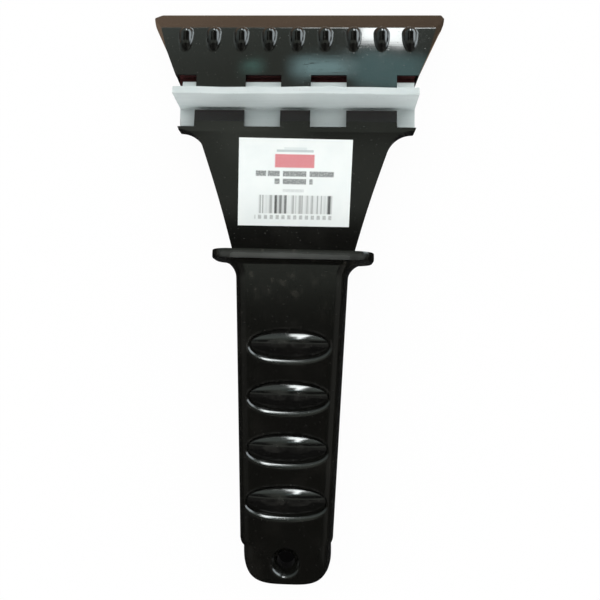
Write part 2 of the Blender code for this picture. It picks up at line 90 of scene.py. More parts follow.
# Front corner of the handle's section, in millimetres from the sharp corner: a drafted side,
# a small round and a shallow facet.
CORNER_HEIGHT = 8.0
CORNER_LINE = ((0.0, -CORNER_HEIGHT), (-0.35, -5.2), (-0.72, -3.4), (-0.95, -2.6), (-1.08, -2.05),
               (-1.26, -1.55), (-1.48, -1.12), (-1.75, -0.76), (-2.05, -0.52), (-2.5, -0.36),
               (-3.1, -0.21), (-3.7, -0.07), (-4.15, -0.012), (-4.6, 0.0))

# Guard: a thin flange, slightly askew. Its rim runs over from the underside to the sharp top:
# millimetres off the front, off the sides and along.
GUARD_CORNER = 6.5 * MM
GUARD_SKEW = -0.009
GUARD_SHORTER_LEFT = 0.026
GUARD_RIM = ((0.75, 0.6, 0.0), (0.42, 0.3, 0.12), (0.2, 0.12, 0.32), (0.08, 0.03, 0.56), (0.03, 0.0, 0.85),
             (0.01, 0.0, 1.3), (0.0, 0.0, 1.9), (0.0, 0.02, 2.5), (0.0, 0.08, 2.85), (0.0, 0.16, 3.0),
             (0.0, 0.22, 3.05))

# Hanging tab.
TAB_WIDTH = 29.7 * MM
TAB_END_DEPTH = 12.0 * MM
TAB_FULLNESS = 3.4
TAB_SKEW = 0.03
TAB_END_DRAFT = 0.4
TAB_DRAFTED = 1.2 * MM
TAB_ROOT = 4.4 * MM
HANG_HOLE = TAB_END + 8.1 * MM
HANG_BORE = 5.7 * MM
HANG_SINK = ((0.0, -2.75), (0.12, -2.55), (1.5, -0.7), (1.66, -0.5), (1.82, -0.33), (1.98, -0.2),
             (2.14, -0.11), (2.32, -0.045), (2.5, -0.012), (2.7, 0.0))

# Seats and pads. The seat's wall runs from its floor to the face, in millimetres. It is steep
# on the side of the guard and rolls over widely on the side of the tab.
PAD_COUNT = 4
PAD_PITCH = 17.25 * MM
FIRST_PAD = SHELL_END + 14.8 * MM
SEAT_LENGTH = 29.2 * MM
SEAT_WIDTH = 12.6 * MM
SEAT_SHIFT = 0.25 * MM
SEAT_FULLNESS = 2.2
SEAT_DEPTH = 1.6 * MM
SEAT_WALL = ((0.0, 0.0), (0.05, 0.3), (0.14, 0.56), (0.28, 0.76), (0.46, 0.93), (0.66, 1.08), (0.88, 1.215),
             (1.1, 1.33), (1.32, 1.425), (1.54, 1.5), (1.76, 1.55), (1.98, 1.583), (2.2, 1.6))
SEAT_STEEP_SHARE = 0.36
PAD_LENGTH = 26.4 * MM
PAD_WIDTH = 8.6 * MM
PAD_SHIFT = 0.95 * MM
PAD_CROWN = 1.8 * MM
PAD_TOP_SHARE = 0.004

# Head.
NECK_END = GUARD_TOP + FIT_GAP
NECK_LENGTH = 41.55 * MM
SLOT_BLOCK_LENGTH = 18.9 * MM
PLATE_LENGTH = 28.7 * MM
BLOCK_END = NECK_END + NECK_LENGTH
BLOCK_TOP = BLOCK_END + SLOT_BLOCK_LENGTH
PLATE_THICKNESS = 6.0 * MM
BLADE_WIDTH = 105.8 * MM
CORNER_LENGTH = 3.2 * MM
SLOT_BLOCK_WIDTH = 83.3 * MM
BEVEL_LENGTH = 7.8 * MM
HONED_LENGTH = 0.8 * MM
EDGE_HEIGHT = 0.4 * MM
HONED_HEIGHT = 1.2 * MM
SIDE_BEVEL_WIDTH = 2.2 * MM
SIDE_BEVEL_LENGTH = 15.0 * MM
SIDE_LAND_HEIGHT = 2.4 * MM
NECK_TOP_WIDTH = 68.0 * MM
NECK_END_WIDTH = 42.4 * MM
NECK_FILLET = 9.4 * MM
BLOCK_NOTCH = 1.15 * MM
BLOCK_CORNER = 3.0 * MM
BLOCK_ROUND = ((0.8, 0.0), (0.25, 0.22), (0.0, 0.8))
NECK_HOLLOW = 0.4 * MM
NECK_DROP = 2.3 * MM
NECK_ROUND = 1.2 * MM
BEVEL_ROUND = 0.3 * MM
BACK_CHAMFER = 0.5 * MM
TANG_WIDTH = 28.0 * MM
TANG_END_WIDTH = 24.0 * MM
NECK_BACK = MID_DEPTH - PLATE_THICKNESS / 2
NECK_FRONT = MID_DEPTH + PLATE_THICKNESS / 2
TANG_FRONT = NECK_FRONT - NECK_DROP
HEAD_TILT = math.atan2(NECK_BACK, TIP - BLOCK_END)
PLATE_RISE = PLATE_THICKNESS / math.cos(HEAD_TILT)
NECK_BEND = TIP - (NECK_FRONT - PLATE_RISE) / math.tan(HEAD_TILT)
NECK_SLOPE = math.atan2(NECK_DROP, NECK_BEND - NECK_END)
EDGE_BREAK = 0.28 * MM
GROUND_SLANT = math.radians(20.0)

# How far a face's normal reaches along an axis: where the face runs along it, where it lies right
# across it, and the least for a ground bevel.
RUNS_ALONG = 0.3
LIES_ACROSS = 0.9
GROUND_LEAST = 0.15

# Right and left sides of the blade, in millimetres from the middle and back from the edge. They
# differ a little, as the moulding does.
BLADE_RIGHT = ((42.2, 28.7), (43.9, 24.0), (51.15, 7.9), (52.1, 6.1), (52.65, 4.5), (52.85, 3.3), (52.9, 2.3),
               (52.1, 0.0), (52.1, -4.0))
BLADE_LEFT = ((42.05, 28.7), (46.65, 17.2), (51.35, 7.8), (52.25, 5.9), (52.75, 4.2), (52.9, 2.9),
              (52.9, 1.9), (50.6, 0.0), (50.6, -4.0))

# The moulding is a little off centre: how far the neck and the slot block sit to the right.
NECK_DRIFT = 0.25 * MM
BLOCK_DRIFT = 0.4 * MM
TAB_DRIFT = 0.2 * MM

# Ribs behind the edge.
RIB_COUNT = 9
RIB_PITCH = 10.02 * MM
RIB_RADIUS = 2.6 * MM
RIB_SINK = 0.3 * MM
RIB_SETBACK = 0.75 * MM
RIB_LENGTH = 10.8 * MM
RIB_TAIL = 6.6 * MM
RIB_TILT = math.radians(9.0)
RIB_FOOT = 0.55 * MM
RIB_FOOT_SHARES = (0.012, 0.06, 0.14, 0.26, 0.42, 0.6, 0.8, 1.0)
RIB_ROOT = 0.4 * MM
RIB_CREST = 0.999 * RIB_RADIUS
RIB_POINTS = 36
RIB_LEVELS = 22

# Strip and its slot. Each wave of the lip has a height in millimetres, a pace and a start.
LIP_WAVES = ((0.12, 5.1, 0.6), (0.06, 13.0, 0.0))
STRIP_LENGTH = 82.9 * MM
STRIP_DRIFT = 0.35 * MM
STRIP_BASE_TRIM = 0.4 * MM
STRIP_BASE_WIDTH = 17.0 * MM
STRIP_BASE_THICKNESS = 1.8 * MM
LIP_THICKNESS = 2.55 * MM
LIP_OFFSET = -0.66 * MM
LIP_LEAN = -0.6 * MM
LIP_HEIGHT = 14.4 * MM
LIP_ROOT = 0.6 * MM
STRIP_ROUND = 0.25 * MM
STRIP_STEPS = 90
SLOT_FLOOR = 1.8 * MM
SLOT_MARGIN = 2.1 * MM
MOUTH_WIDTH = 6.6 * MM
WINDOW_BELOW = 0.7 * MM
WINDOW_ABOVE = 1.25 * MM
CENTRE_FINGER_WIDTH = 10.5 * MM
INNER_WINDOW_WIDTH = 12.6 * MM
SIDE_FINGER_WIDTH = 17.6 * MM
CHANNEL_WIDTH = STRIP_BASE_WIDTH + 2 * FIT_GAP
CHANNEL_HEIGHT = STRIP_BASE_THICKNESS + 2 * FIT_GAP
SLOT_CENTRE = BLOCK_END + SLOT_MARGIN + CHANNEL_WIDTH / 2
SLOT_MIDDLE = (SLOT_CENTRE - TIP) / math.cos(HEAD_TILT)

# Pegs in the tang.
PEG_DIAMETER = 5.0 * MM
BOSS_DIAMETER = 9.0 * MM
BOSS_ROOT = 0.8 * MM
PEG_PLACES = (GUARD_TOP - 14.0 * MM, GUARD_TOP - 42.0 * MM)

# Ejector marks on the back.
EJECTOR_RADIUS = 2.0 * MM
EJECTOR_DEPTH = 0.15 * MM
EJECTOR_ASIDE = 9.0 * MM
EJECTOR_PLACES = (SHELL_END + 10.0 * MM, GUARD_UNDER - 12.0 * MM)

# Label: its corners on the neck, left to right and low to high, its film, how far it lies off the
# neck, and how far its waves and its curled rim rise over that.
LABEL_CORNERS = ((-19.28, 20.24), (19.43, 20.06), (-19.34, 50.84), (20.32, 50.28))
LABEL_THICKNESS = 0.12 * MM
LABEL_LIFT = 0.02 * MM
LABEL_WAVE = 0.012 * MM
LABEL_CURL = 0.05 * MM
LABEL_COLUMNS = 26
LABEL_ROWS = 20

# How finely rounds are drawn.
END_STEPS = 6
FLARE_STEPS = 12
TAB_STEPS = 32
FILLET_STEPS = 20
SIDE_STEPS = 12
SHOULDER_STEPS = 6
OVAL_STEPS = 96
CROWN_STEPS = 28
RIB_SAMPLES = 1200

# Narrower faces than this lie on a broken edge, where wear shows. Wider ones than the second
# width, with at least this area, are flats of the head.
WORN_WIDTH = 0.17 * MM
FLAT_WIDTH = 2.5 * MM
FLAT_AREA = 15.0 * MM * MM
FLAT_TURN = math.radians(0.4)

# Finishes. Each pair says from where to where a zone comes or goes: the polish of the blade, the
# painted maroon reflection in the slot, measured in the tilted head, the dusty part of the handle
# and the painted highlight band along the guard's crest.
POLISHED_ROUGHNESS = 0.085
POLISH_STARTS = (BLOCK_END - 1.0 * MM, BLOCK_END + 1.5 * MM)
SLOT_REFLECTION_FINGERS = (SLOT_MIDDLE - 9.0 * MM, SLOT_MIDDLE - 4.0 * MM)
SLOT_REFLECTION_MIDDLE = (SLOT_MIDDLE - 2.0 * MM, SLOT_MIDDLE)
SLOT_REFLECTION_TOP = (SLOT_MIDDLE + 10.5 * MM, SLOT_MIDDLE + 12.0 * MM)
SLOT_REFLECTION_BACK = (0.6 * MM, 1.2 * MM)
SLOT_REFLECTION_FRONT = (PLATE_THICKNESS - 0.9 * MM, PLATE_THICKNESS - 0.2 * MM)
SLOT_REFLECTION_SIDES = (SLOT_BLOCK_WIDTH / 2 + 0.2 * MM, SLOT_BLOCK_WIDTH / 2 + 0.5 * MM)
DUSTY = (-16.0 * MM, 2.0 * MM)
CREST_SHEEN_HEIGHT = (HANDLE_DEPTH + 1.2 * MM, HANDLE_DEPTH + 2.2 * MM)
CREST_SHEEN_LINE = (GUARD_TOP - 0.1 * MM, GUARD_TOP - 2.0 * MM)
CREST_SHEEN_ENDS = (18.5 * MM, 21.0 * MM)
PRINT_SOFTNESS = 0.006
WHITE = (1.0, 1.0, 1.0)
BLACK = (0.0, 0.0, 0.0)

# Panes of light that glossy faces mirror: azimuths from +Y and elevations in degrees (left, right,
# low, high), how soft they are across and upwards, and their colour.
LIGHT_PANES = (
    ((-76.0, 45.0, 4.0, 49.0, 12.0, 5.0), (0.55, 0.66, 0.64)),
    ((26.0, 76.0, -4.0, 36.0, 6.0, 5.0), (5.0, 5.6, 5.8)),
    ((3.6, 9.6, 36.0, 51.45, 0.4, 0.22), (24.0, 25.0, 25.0)),
    ((-3.0, 12.0, 24.0, 38.0, 1.5, 2.0), (20.0, 21.0, 21.0)),
    ((-5.0, 3.0, 52.8, 54.1, 2.0, 0.45), (2.8, 4.6, 4.8)),
    ((-12.0, -9.6, 52.6, 53.4, 1.2, 0.35), (0.8, 2.0, 1.75)),
    ((3.6, 13.0, 52.1, 54.9, 1.5, 0.6), (0.85, 1.75, 1.85)),
    ((68.0, 125.0, 44.0, 72.0, 8.0, 4.0), (0.2, 0.2, 0.185)),
    ((-125.0, -68.0, 44.0, 72.0, 8.0, 4.0), (0.09, 0.09, 0.085)),
    ((-42.0, -9.0, 57.0, 79.0, 5.0, 3.0), (0.42, 0.46, 0.4)),
)

# Floor, with the painted shade spot that is seen through the hang hole and the brown table top that
# the blade mirrors, darkened near the scraper by painted shadow, and the camera.
FLOOR_REACH = 3.0
FLOOR_DROP = 0.2 * MM
HOLE_SHADE = (-1.0 * MM, HANG_HOLE - 5.0 * MM, 0.0)
HOLE_SHADE_REACH = (3.6 * MM, 5.2 * MM)
SHADE_COLOUR = (0.002, 0.002, 0.002)
TABLE_SIDES = (-80.0 * MM, 80.0 * MM)
TABLE_STARTS = (70.0 * MM, 90.0 * MM)
CAMERA_PLACE = (12.25 * MM, -17.27 * MM, 234.25 * MM)
CAMERA_TURNS = ((2.367, "Y"), (3.0, "X"), (1.152, "Z"))
FOCAL_LENGTH = 39.0

# Places for a shape that is drawn in XY: as it is, and turned into the side view, in YZ along X.
UPRIGHT = Matrix.Identity(4)
SIDEWAYS = Matrix(((0, 0, 1, 0), (1, 0, 0, 0), (0, 1, 0, 0), (0, 0, 0, 1)))

workshop = bpy.data.collections.new("cutters")
bpy.context.scene.collection.children.link(workshop)


def head_frame():
    """Matrix of the tilted head: origin on the back of the edge, Z out of its front."""
    return Matrix.Translation((0.0, TIP, 0.0)) @ Matrix.Rotation(-HEAD_TILT, 4, "X")


def plate_front(y):
    """Height of the tilted plate's front at a station."""
    return (TIP - y) * math.tan(HEAD_TILT) + PLATE_RISE


def neck_front(y):
    """Height of the sloping neck's front at a station."""
    return NECK_FRONT - (NECK_BEND - y) * math.tan(NECK_SLOPE)


def arc(centre, radius, start, end, steps):
    """Points of an arc between two angles in degrees, both ends included."""
    angles = [math.radians(start + (end - start) * step / steps) for step in range(steps + 1)]
    return [(centre[0] + radius * math.cos(angle), centre[1] + radius * math.sin(angle)) for angle in angles]


def quarter_turn(steps):
    """Angles from nothing to a right angle, both ends included."""
    return [math.pi / 2 * step / steps for step in range(steps + 1)]


def full_turn(steps):
    """Angles of a full turn."""
    return [2 * math.pi * step / steps for step in range(steps)]


def mirrored(half):
    """Close an outline whose right half runs from bottom to top."""
    return half + [(-x, y) for x, y in reversed(half) if x > 0.0]


def link(name, mesh):
    """Put a mesh into the workshop collection as an object."""
    made = bpy.data.objects.new(name, mesh)
    workshop.objects.link(made)
    return made


def smooth(mesh):
    """Shade a mesh smooth, with its sharper edges kept sharp."""
    mesh.shade_smooth()
    mesh.set_sharp_from_angle(angle=SHARP_ANGLE)


@contextmanager
def opened(mesh):
    """Open a mesh for editing, and write it back at the end."""
    shape = bmesh.new()
    shape.from_mesh(mesh)
    yield shape
    shape.to_mesh(mesh)
    shape.free()


def drop_slivers(shape):
    """Merge corners that all but touch, so that no face without an area is left."""
    bmesh.ops.remove_doubles(shape, verts=shape.verts, dist=MERGE_DISTANCE)
    bmesh.ops.dissolve_degenerate(shape, dist=MERGE_DISTANCE, edges=shape.edges)


def rings_mesh(name, rings):
    """Close a row of rings with equal point counts into a solid with flat ends."""
    mesh = bpy.data.meshes.new(name)
    with opened(mesh) as shape:
        rows = [[shape.verts.new(point) for point in ring] for ring in rings]
        count = len(rows[0])
        for low, high in zip(rows, rows[1:]):
            for place in range(count):
                after = (place + 1) % count
                shape.faces.new((low[place], low[after], high[after], high[place]))
        shape.faces.new(rows[0][::-1])
        shape.faces.new(rows[-1])
        drop_slivers(shape)
        bmesh.ops.recalc_face_normals(shape, faces=shape.faces)
    smooth(mesh)
    return link(name, mesh)


def prism(name, outline, low, high, place=UPRIGHT):
    """Extrude an outline in XY along Z, then put it in its place."""
    made = rings_mesh(name, [[(x, y, z) for x, y in outline] for z in (low, high)])
    made.data.transform(place)
    return made


def block(name, low, high, place=UPRIGHT):
    """A cutter box between two corners."""
    outline = [(low[0], low[1]), (high[0], low[1]), (high[0], high[1]), (low[0], high[1])]
    return prism(name, outline, low[2], high[2], place)


def turned(name, x, y, profile, steps=64):
    """A closed turned body about an upright axis, from (radius, height) pairs."""
    return rings_mesh(name, [[(x + radius * math.cos(angle), y + radius * math.sin(angle), height)
                              for angle in full_turn(steps)] for radius, height in profile])


def combine(piece, other, operation):
    """Cut, join or intersect a piece with another body, and use the other one up."""
    cut = piece.modifiers.new(operation, "BOOLEAN")
    cut.operation = operation
    cut.object = other
    cut.solver = "EXACT"
    settle(piece)
    bpy.data.objects.remove(other, do_unlink=True)


def settle(piece):
    """Turn a piece with modifiers into a plain mesh and drop the modifiers."""
    bpy.context.view_layer.update()
    graph = bpy.context.evaluated_depsgraph_get()
    mesh = bpy.data.meshes.new_from_object(piece.evaluated_get(graph), depsgraph=graph)
    old = piece.data
    piece.modifiers.clear()
    piece.data = mesh
    mesh.name = piece.name
    bpy.data.meshes.remove(old)


def tidy_mesh(piece):
    """Merge doubles and join faces that lie in one plane."""
    with opened(piece.data) as shape:
        bmesh.ops.remove_doubles(shape, verts=shape.verts, dist=MERGE_DISTANCE)
        bmesh.ops.dissolve_limit(shape, angle_limit=FLAT_ANGLE, verts=shape.verts, edges=shape.edges)


def break_edges(piece, width, segments, wanted):
    """Round the sharp edges that the test picks out."""
    with opened(piece.data) as shape:
        chosen = [edge for edge in shape.edges
                  if len(edge.link_faces) == 2 and edge.calc_face_angle(0.0) > SHARP_ANGLE
                  and wanted(edge)]
        bmesh.ops.bevel(shape, geom=chosen, offset=width, offset_type="OFFSET", segments=segments,
                        profile=0.5, affect="EDGES", clamp_overlap=True)


def longest_side(mesh, face):
    """Length of a face's longest side."""
    corners = [mesh.vertices[index].co for index in face.vertices]
    return max((corner - after).length for corner, after in zip(corners, corners[1:] + corners[:1]))


def mark_worn_edges(mesh):
    """Mark the long narrow faces of broken edges in an attribute that the finishes read."""
    marks = mesh.attributes.new("worn_edge", "FLOAT", "FACE")
    for face in mesh.polygons:
        longest = longest_side(mesh, face)
        is_edge = longest > 2 * WORN_WIDTH and face.area < longest * WORN_WIDTH
        marks.data[face.index].value = 1.0 if is_edge else 0.0


def flatten_normals(mesh):
    """Give every large flat, with the slivers in its plane, one straight normal all over."""
    by_edge = {}
    for face in mesh.polygons:
        for key in face.edge_keys:
            by_edge.setdefault(key, []).append(face)
    normals = [Vector(corner.vector) for corner in mesh.corner_normals]
    settled = set()
    for seed in sorted(mesh.polygons, key=lambda face: -face.area):
        if seed.index in settled or seed.area < max(FLAT_AREA, longest_side(mesh, seed) * FLAT_WIDTH):
            continue
        normal = seed.normal.copy()
        waiting = [seed]
        settled.add(seed.index)
        while waiting:
            face = waiting.pop()
            for corner in face.loop_indices:
                normals[corner] = normal
            for key in face.edge_keys:
                for other in by_edge[key]:
                    if other.index not in settled and normal.angle(other.normal, 1.0) < FLAT_TURN:
                        settled.add(other.index)
                        waiting.append(other)
    mesh.normals_split_custom_set(normals)


def finish_piece(piece, body, slot, nodes, *materials):
    """Give a piece its shading and materials, and let it ride on its body in its nodes' place."""
    with opened(piece.data) as shape:
        drop_slivers(shape)
    smooth(piece.data)
    weights = piece.modifiers.new("weighted normals", "WEIGHTED_NORMAL")
    weights.keep_sharp = True
    weights.mode = "FACE_AREA"
    settle(piece)
    if slot == "head_plastic":
        flatten_normals(piece.data)
    mark_worn_edges(piece.data)
    piece.data.materials.clear()
    for material in materials:
        piece.data.materials.append(material)
    workshop.objects.unlink(piece)
    bpy.context.scene.collection.objects.link(piece)
    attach(piece, body)
    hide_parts(*nodes)


def head_outline():
    """Plan of the head: tang, hollow-sided neck, slot block and blade, seen from the front."""
    half_end = NECK_END_WIDTH / 2
    half_top = NECK_TOP_WIDTH / 2
    slope = math.atan2(half_top - half_end, NECK_LENGTH)
    low_edge = BLOCK_END + BLOCK_NOTCH
    half_top += BLOCK_NOTCH * math.tan(slope)
    tangent = NECK_FILLET * math.tan((math.pi / 2 - slope) / 2)
    centre = (half_top + tangent, low_edge - NECK_FILLET)
    fillet = arc(centre, NECK_FILLET, 180 - math.degrees(slope), 90, FILLET_STEPS)
    reach = fillet[0][1] - NECK_END
    half = [(TANG_END_WIDTH / 2, TANG_END, 0.0), (TANG_WIDTH / 2, NECK_END, 0.0)]
    for step in range(SIDE_STEPS):
        share = step / SIDE_STEPS
        x = half_end + reach * share * math.tan(slope) - NECK_HOLLOW * math.sin(math.pi * share)
        half.append((x, NECK_END + reach * share, NECK_DRIFT))
    half += [(x, y, NECK_DRIFT) for x, y in fillet]
    half += [(SLOT_BLOCK_WIDTH / 2 - back * MM, low_edge + up * MM, BLOCK_DRIFT) for back, up in BLOCK_ROUND]
    right, left = [[(side * x + drift, y) for x, y, drift in half]
                   + [(side * x * MM, TIP - back * MM) for x, back in blade]
                   for side, blade in ((1, BLADE_RIGHT), (-1, BLADE_LEFT))]
    return right + left[::-1]


def head_profile():
    """Side view of the head: level tang, rising neck, then the tilted plate with its bevel."""
    bevel_start = TIP - BEVEL_LENGTH
    tang_end = TANG_END - OVERRUN
    honed = Vector((TIP - HONED_LENGTH, HONED_HEIGHT))
    corner = Vector((bevel_start, plate_front(bevel_start)))
    before = corner + (honed - corner).normalized() * BEVEL_ROUND
    after = Vector((bevel_start - BEVEL_ROUND, plate_front(bevel_start - BEVEL_ROUND)))
    shares = [step / SHOULDER_STEPS for step in range(SHOULDER_STEPS + 1)]
    shoulder = [before.lerp(corner, share).lerp(corner.lerp(after, share), share) for share in shares]
    return [(tang_end, NECK_BACK), (BLOCK_END, NECK_BACK), (TIP, 0.0), (TIP, EDGE_HEIGHT), honed, *shoulder,
            (NECK_BEND, NECK_FRONT), (NECK_END, TANG_FRONT), (tang_end, TANG_FRONT)]


def is_neck_side(edge):
    """An edge along the neck's sides or round the slot block, on the front or the back."""
    low, high = edge.verts
    if min(low.co.y, high.co.y) < NECK_END - FIT_GAP or max(low.co.y, high.co.y) > BLOCK_TOP + FIT_GAP:
        return False
    if min(abs(low.co.x), abs(high.co.x)) > SLOT_BLOCK_WIDTH / 2 - BLOCK_CORNER:
        return False
    slants = sorted(abs(face.normal.z) for face in edge.link_faces)
    is_shoulder = any(face.normal.y < -LIES_ACROSS and face.calc_center_median().y < NECK_END + FIT_GAP
                      for face in edge.link_faces)
    return slants[0] < RUNS_ALONG and slants[1] > LIES_ACROSS and not is_shoulder


def is_front_neck_side(edge):
    """A side edge of the neck or the block on the front."""
    return is_neck_side(edge) and edge.verts[0].co.z > MID_DEPTH - FIT_GAP


def is_back_neck_side(edge):
    """A side edge of the neck or the block on the back."""
    return is_neck_side(edge) and edge.verts[0].co.z < MID_DEPTH - FIT_GAP


def side_bevel_cutter(side):
    """A wedge that takes off the front corner along one slanted side of the blade."""
    slant = Vector((side * (BLADE_WIDTH - SLOT_BLOCK_WIDTH) / 2, PLATE_LENGTH - CORNER_LENGTH, 0.0))
    slant.normalize()
    inward = Vector((-side * slant.y, abs(slant.x), 0.0))
    corner = Vector((side * BLADE_WIDTH / 2, TIP - CORNER_LENGTH, 0.0))
    low = corner + Vector((0.0, 0.0, SIDE_LAND_HEIGHT))
    top = corner + inward * SIDE_BEVEL_WIDTH
    top.z = plate_front(top.y)
    far = corner - slant * SIDE_BEVEL_LENGTH
    far.z = plate_front(far.y)
    across = (top - low).normalized()
    normal = across.cross(far - low).normalized()
    if normal.x * side < 0.0:
        normal = -normal
    along = normal.cross(across)
    facing = Matrix((across, along, normal)).transposed().to_4x4()
    reach = SIDE_BEVEL_LENGTH + OVERRUN
    place = Matrix.Translation(low) @ facing
    return block("side_bevel_cut", (-reach, -reach, 0.0), (reach, reach, PLATE_THICKNESS), place)


def finger_gaps():
    """Plan of the openings in the slot's front: the mouth with its windows, in the tilted head."""
    inner_start = CENTRE_FINGER_WIDTH / 2
    inner_end = inner_start + INNER_WINDOW_WIDTH
    outer_start = inner_end + SIDE_FINGER_WIDTH
    right = [inner_start, inner_end, outer_start, SLOT_BLOCK_WIDTH / 2 + OVERRUN]
    edges = [-x for x in reversed(right)] + right
    window = (CHANNEL_WIDTH / 2 + WINDOW_BELOW, CHANNEL_WIDTH / 2 + WINDOW_ABOVE)
    mouth = (MOUTH_WIDTH / 2, MOUTH_WIDTH / 2)
    lower = []
    upper = []
    for place, ends in enumerate(zip(edges, edges[1:])):
        below, above = mouth if place % 2 else window
        lower += [(x, SLOT_MIDDLE - below) for x in ends]
        upper += [(x, SLOT_MIDDLE + above) for x in ends]
    return lower + upper[::-1]


class Nodes:
    """Short ways to build one node tree, whose textures lie in one vector."""

    def __init__(self, tree, vector=None):
        self.tree = tree
        self.vector = vector

    def feed(self, socket, value):
        """Set a socket to a value, or join another node's output to it."""
        if isinstance(value, bpy.types.NodeSocket):
            self.tree.links.new(value, socket)
        else:
            socket.default_value = value

    def add(self, kind, inputs, **settings):
        """Add a node, set its plain properties and feed its inputs by name or number."""
        made = self.tree.nodes.new(kind)
        for name, value in settings.items():
            setattr(made, name, value)
        for place, value in inputs.items():
            self.feed(made.inputs[place], value)
        return made

    def maths(self, operation, *values):
        """Add a Math node."""
        return self.add("ShaderNodeMath", dict(enumerate(values)), operation=operation).outputs[0]

    def times(self, *values):
        """Multiply values."""
        return reduce(lambda so_far, value: self.maths("MULTIPLY", so_far, value), values)

    def plus(self, *values):
        """Add values up."""
        return reduce(lambda so_far, value: self.maths("ADD", so_far, value), values)

    def split(self, vector):
        """Part a vector into its X, Y and Z."""
        return self.add("ShaderNodeSeparateXYZ", {0: vector}).outputs

    def ramp(self, value, low, high, to_low=0.0, to_high=1.0):
        """Bring a value softly from one range to another."""
        return self.add("ShaderNodeMapRange", {
            "Value": value, "From Min": low, "From Max": high, "To Min": to_low, "To Max": to_high},
            interpolation_type="SMOOTHSTEP").outputs["Result"]

    def fall(self, value, low, high):
        """Fall softly from 1 to 0."""
        return self.ramp(value, low, high, 1.0, 0.0)

    def pane(self, across, up, left, right, low, high, side_soft, height_soft):
        """Mask of a rectangle over two values, with soft edges."""
        return self.times(self.ramp(across, left - side_soft, left + side_soft),
                          self.fall(across, right - side_soft, right + side_soft),
                          self.ramp(up, low - height_soft, low + height_soft),
                          self.fall(up, high - height_soft, high + height_soft))

    def blend(self, share, first, second, kind="MIX"):
        """Mix two colours."""
        colours = [(*colour, 1.0) if isinstance(colour, tuple) else colour for colour in (first, second)]
        made = self.add("ShaderNodeMix", {}, data_type="RGBA", blend_type=kind)
        for place, value in zip((0, 6, 7), (share, *colours)):
            self.feed(made.inputs[place], value)
        return made.outputs[2]

    def tint(self, base, colour, *shares):
        """Tint a colour with another one, as far as all the shares together say."""
        return self.blend(self.times(*shares), base, colour)

    def grain(self, scale, detail=2.0, stretch=(1.0, 1.0, 1.0), turn=(0.0, 0.0, 0.0), vector=None):
        """Noise with its features stretched and turned. The scale is in features a metre."""
        place = self.add("ShaderNodeMapping", {
            "Scale": stretch, "Rotation": turn, "Vector": vector or self.vector})
        return self.add("ShaderNodeTexNoise", {
            "Detail": detail, "Vector": place.outputs[0], "Scale": scale}).outputs["Fac"]

    def effect(self, group, **amounts):
        """Place a shared effect and return its outputs."""
        return self.add("ShaderNodeGroup", {"Vector": self.vector, **amounts}, node_tree=group).outputs


def row_tree():
    """Geometry Nodes tree that sets turned copies of a shape in a row."""
    tree = bpy.data.node_groups.new("row of copies", "GeometryNodeTree")
    sockets = {}
    for name, kind in (("Shape", "Object"), ("Count", "Int"), ("Pitch", "Vector"), ("First", "Vector"),
                       ("Turn", "Vector"), ("Material", "Material")):
        sockets[name] = tree.interface.new_socket(
            name, in_out="INPUT", socket_type="NodeSocket" + kind).identifier
    tree.interface.new_socket("Row", in_out="OUTPUT", socket_type="NodeSocketGeometry")
    nodes = Nodes(tree)
    given = nodes.add("NodeGroupInput", {}).outputs
    shape = nodes.add("GeometryNodeObjectInfo", {"Object": given["Shape"]})
    row = nodes.add("GeometryNodeMeshLine", {
        "Count": given["Count"], "Offset": given["Pitch"], "Start Location": given["First"]}, mode="OFFSET")
    copies = nodes.add("GeometryNodeInstanceOnPoints", {
        "Points": row.outputs["Mesh"], "Instance": shape.outputs["Geometry"], "Rotation": given["Turn"]})
    real = nodes.add("GeometryNodeRealizeInstances", {"Geometry": copies.outputs["Instances"]})
    paint = nodes.add("GeometryNodeSetMaterial", {
        "Geometry": real.outputs["Geometry"], "Material": given["Material"]})
    nodes.add("NodeGroupOutput", {0: paint.outputs["Geometry"]})
    return tree, sockets


def grown_row(name, source, values):
    """Copy a shape in a row, as one plain mesh, and use the shape up."""
    tree, sockets = row_tree()
    piece = link(name, bpy.data.meshes.new(name))
    grow = piece.modifiers.new(name, "NODES")
    grow.node_group = tree
    grow[sockets["Shape"]] = source
    for label, value in values.items():
        grow[sockets[label]] = value
    settle(piece)
    bpy.data.objects.remove(source, do_unlink=True)
    return piece


def rib_half(along, level):
    """Half width of a rib at a distance from its nose and a height over the plate."""
    nose = 1.0 - min(along / RIB_RADIUS, 1.0)
    tail = 1.0 - min((RIB_LENGTH - along) / RIB_TAIL, 1.0)
    radius = RIB_RADIUS * math.sqrt(max(0.0, 1.0 - max(nose, tail) ** 2))
    axis = -RIB_SINK - along * math.tan(RIB_TILT)
    return math.sqrt(max(0.0, radius * radius - (level - axis) ** 2))


def rib_ring(level):
    """Closed outline of a rib at a height over the plate, with its foot spread out."""
    places = [RIB_LENGTH * step / RIB_SAMPLES for step in range(RIB_SAMPLES + 1)]
    inside = [along for along in places if rib_half(along, level) > 0.0]
    low, high = inside[0], inside[-1]
    half = []
    for step in range(RIB_POINTS + 1):
        along = low + (high - low) * (1 - math.cos(math.pi * step / RIB_POINTS)) / 2
        across = rib_half(along, level) if 0 < step < RIB_POINTS else 0.0
        half.append((across, -along))
    outline = half + [(-x, y) for x, y in half[-2:0:-1]]
    rest = min(max(level / RIB_FOOT, 0.0), 1.0)
    spread = RIB_FOOT * (1.0 - math.sqrt(1.0 - (1.0 - rest) ** 2))
    ring = []
    for before, (x, y), after in zip(outline[-1:] + outline, outline, outline[1:] + outline[:1]):
        along = (Vector(after) - Vector(before)).normalized()
        ring.append((x - along.y * spread, y + along.x * spread, level))
    return ring


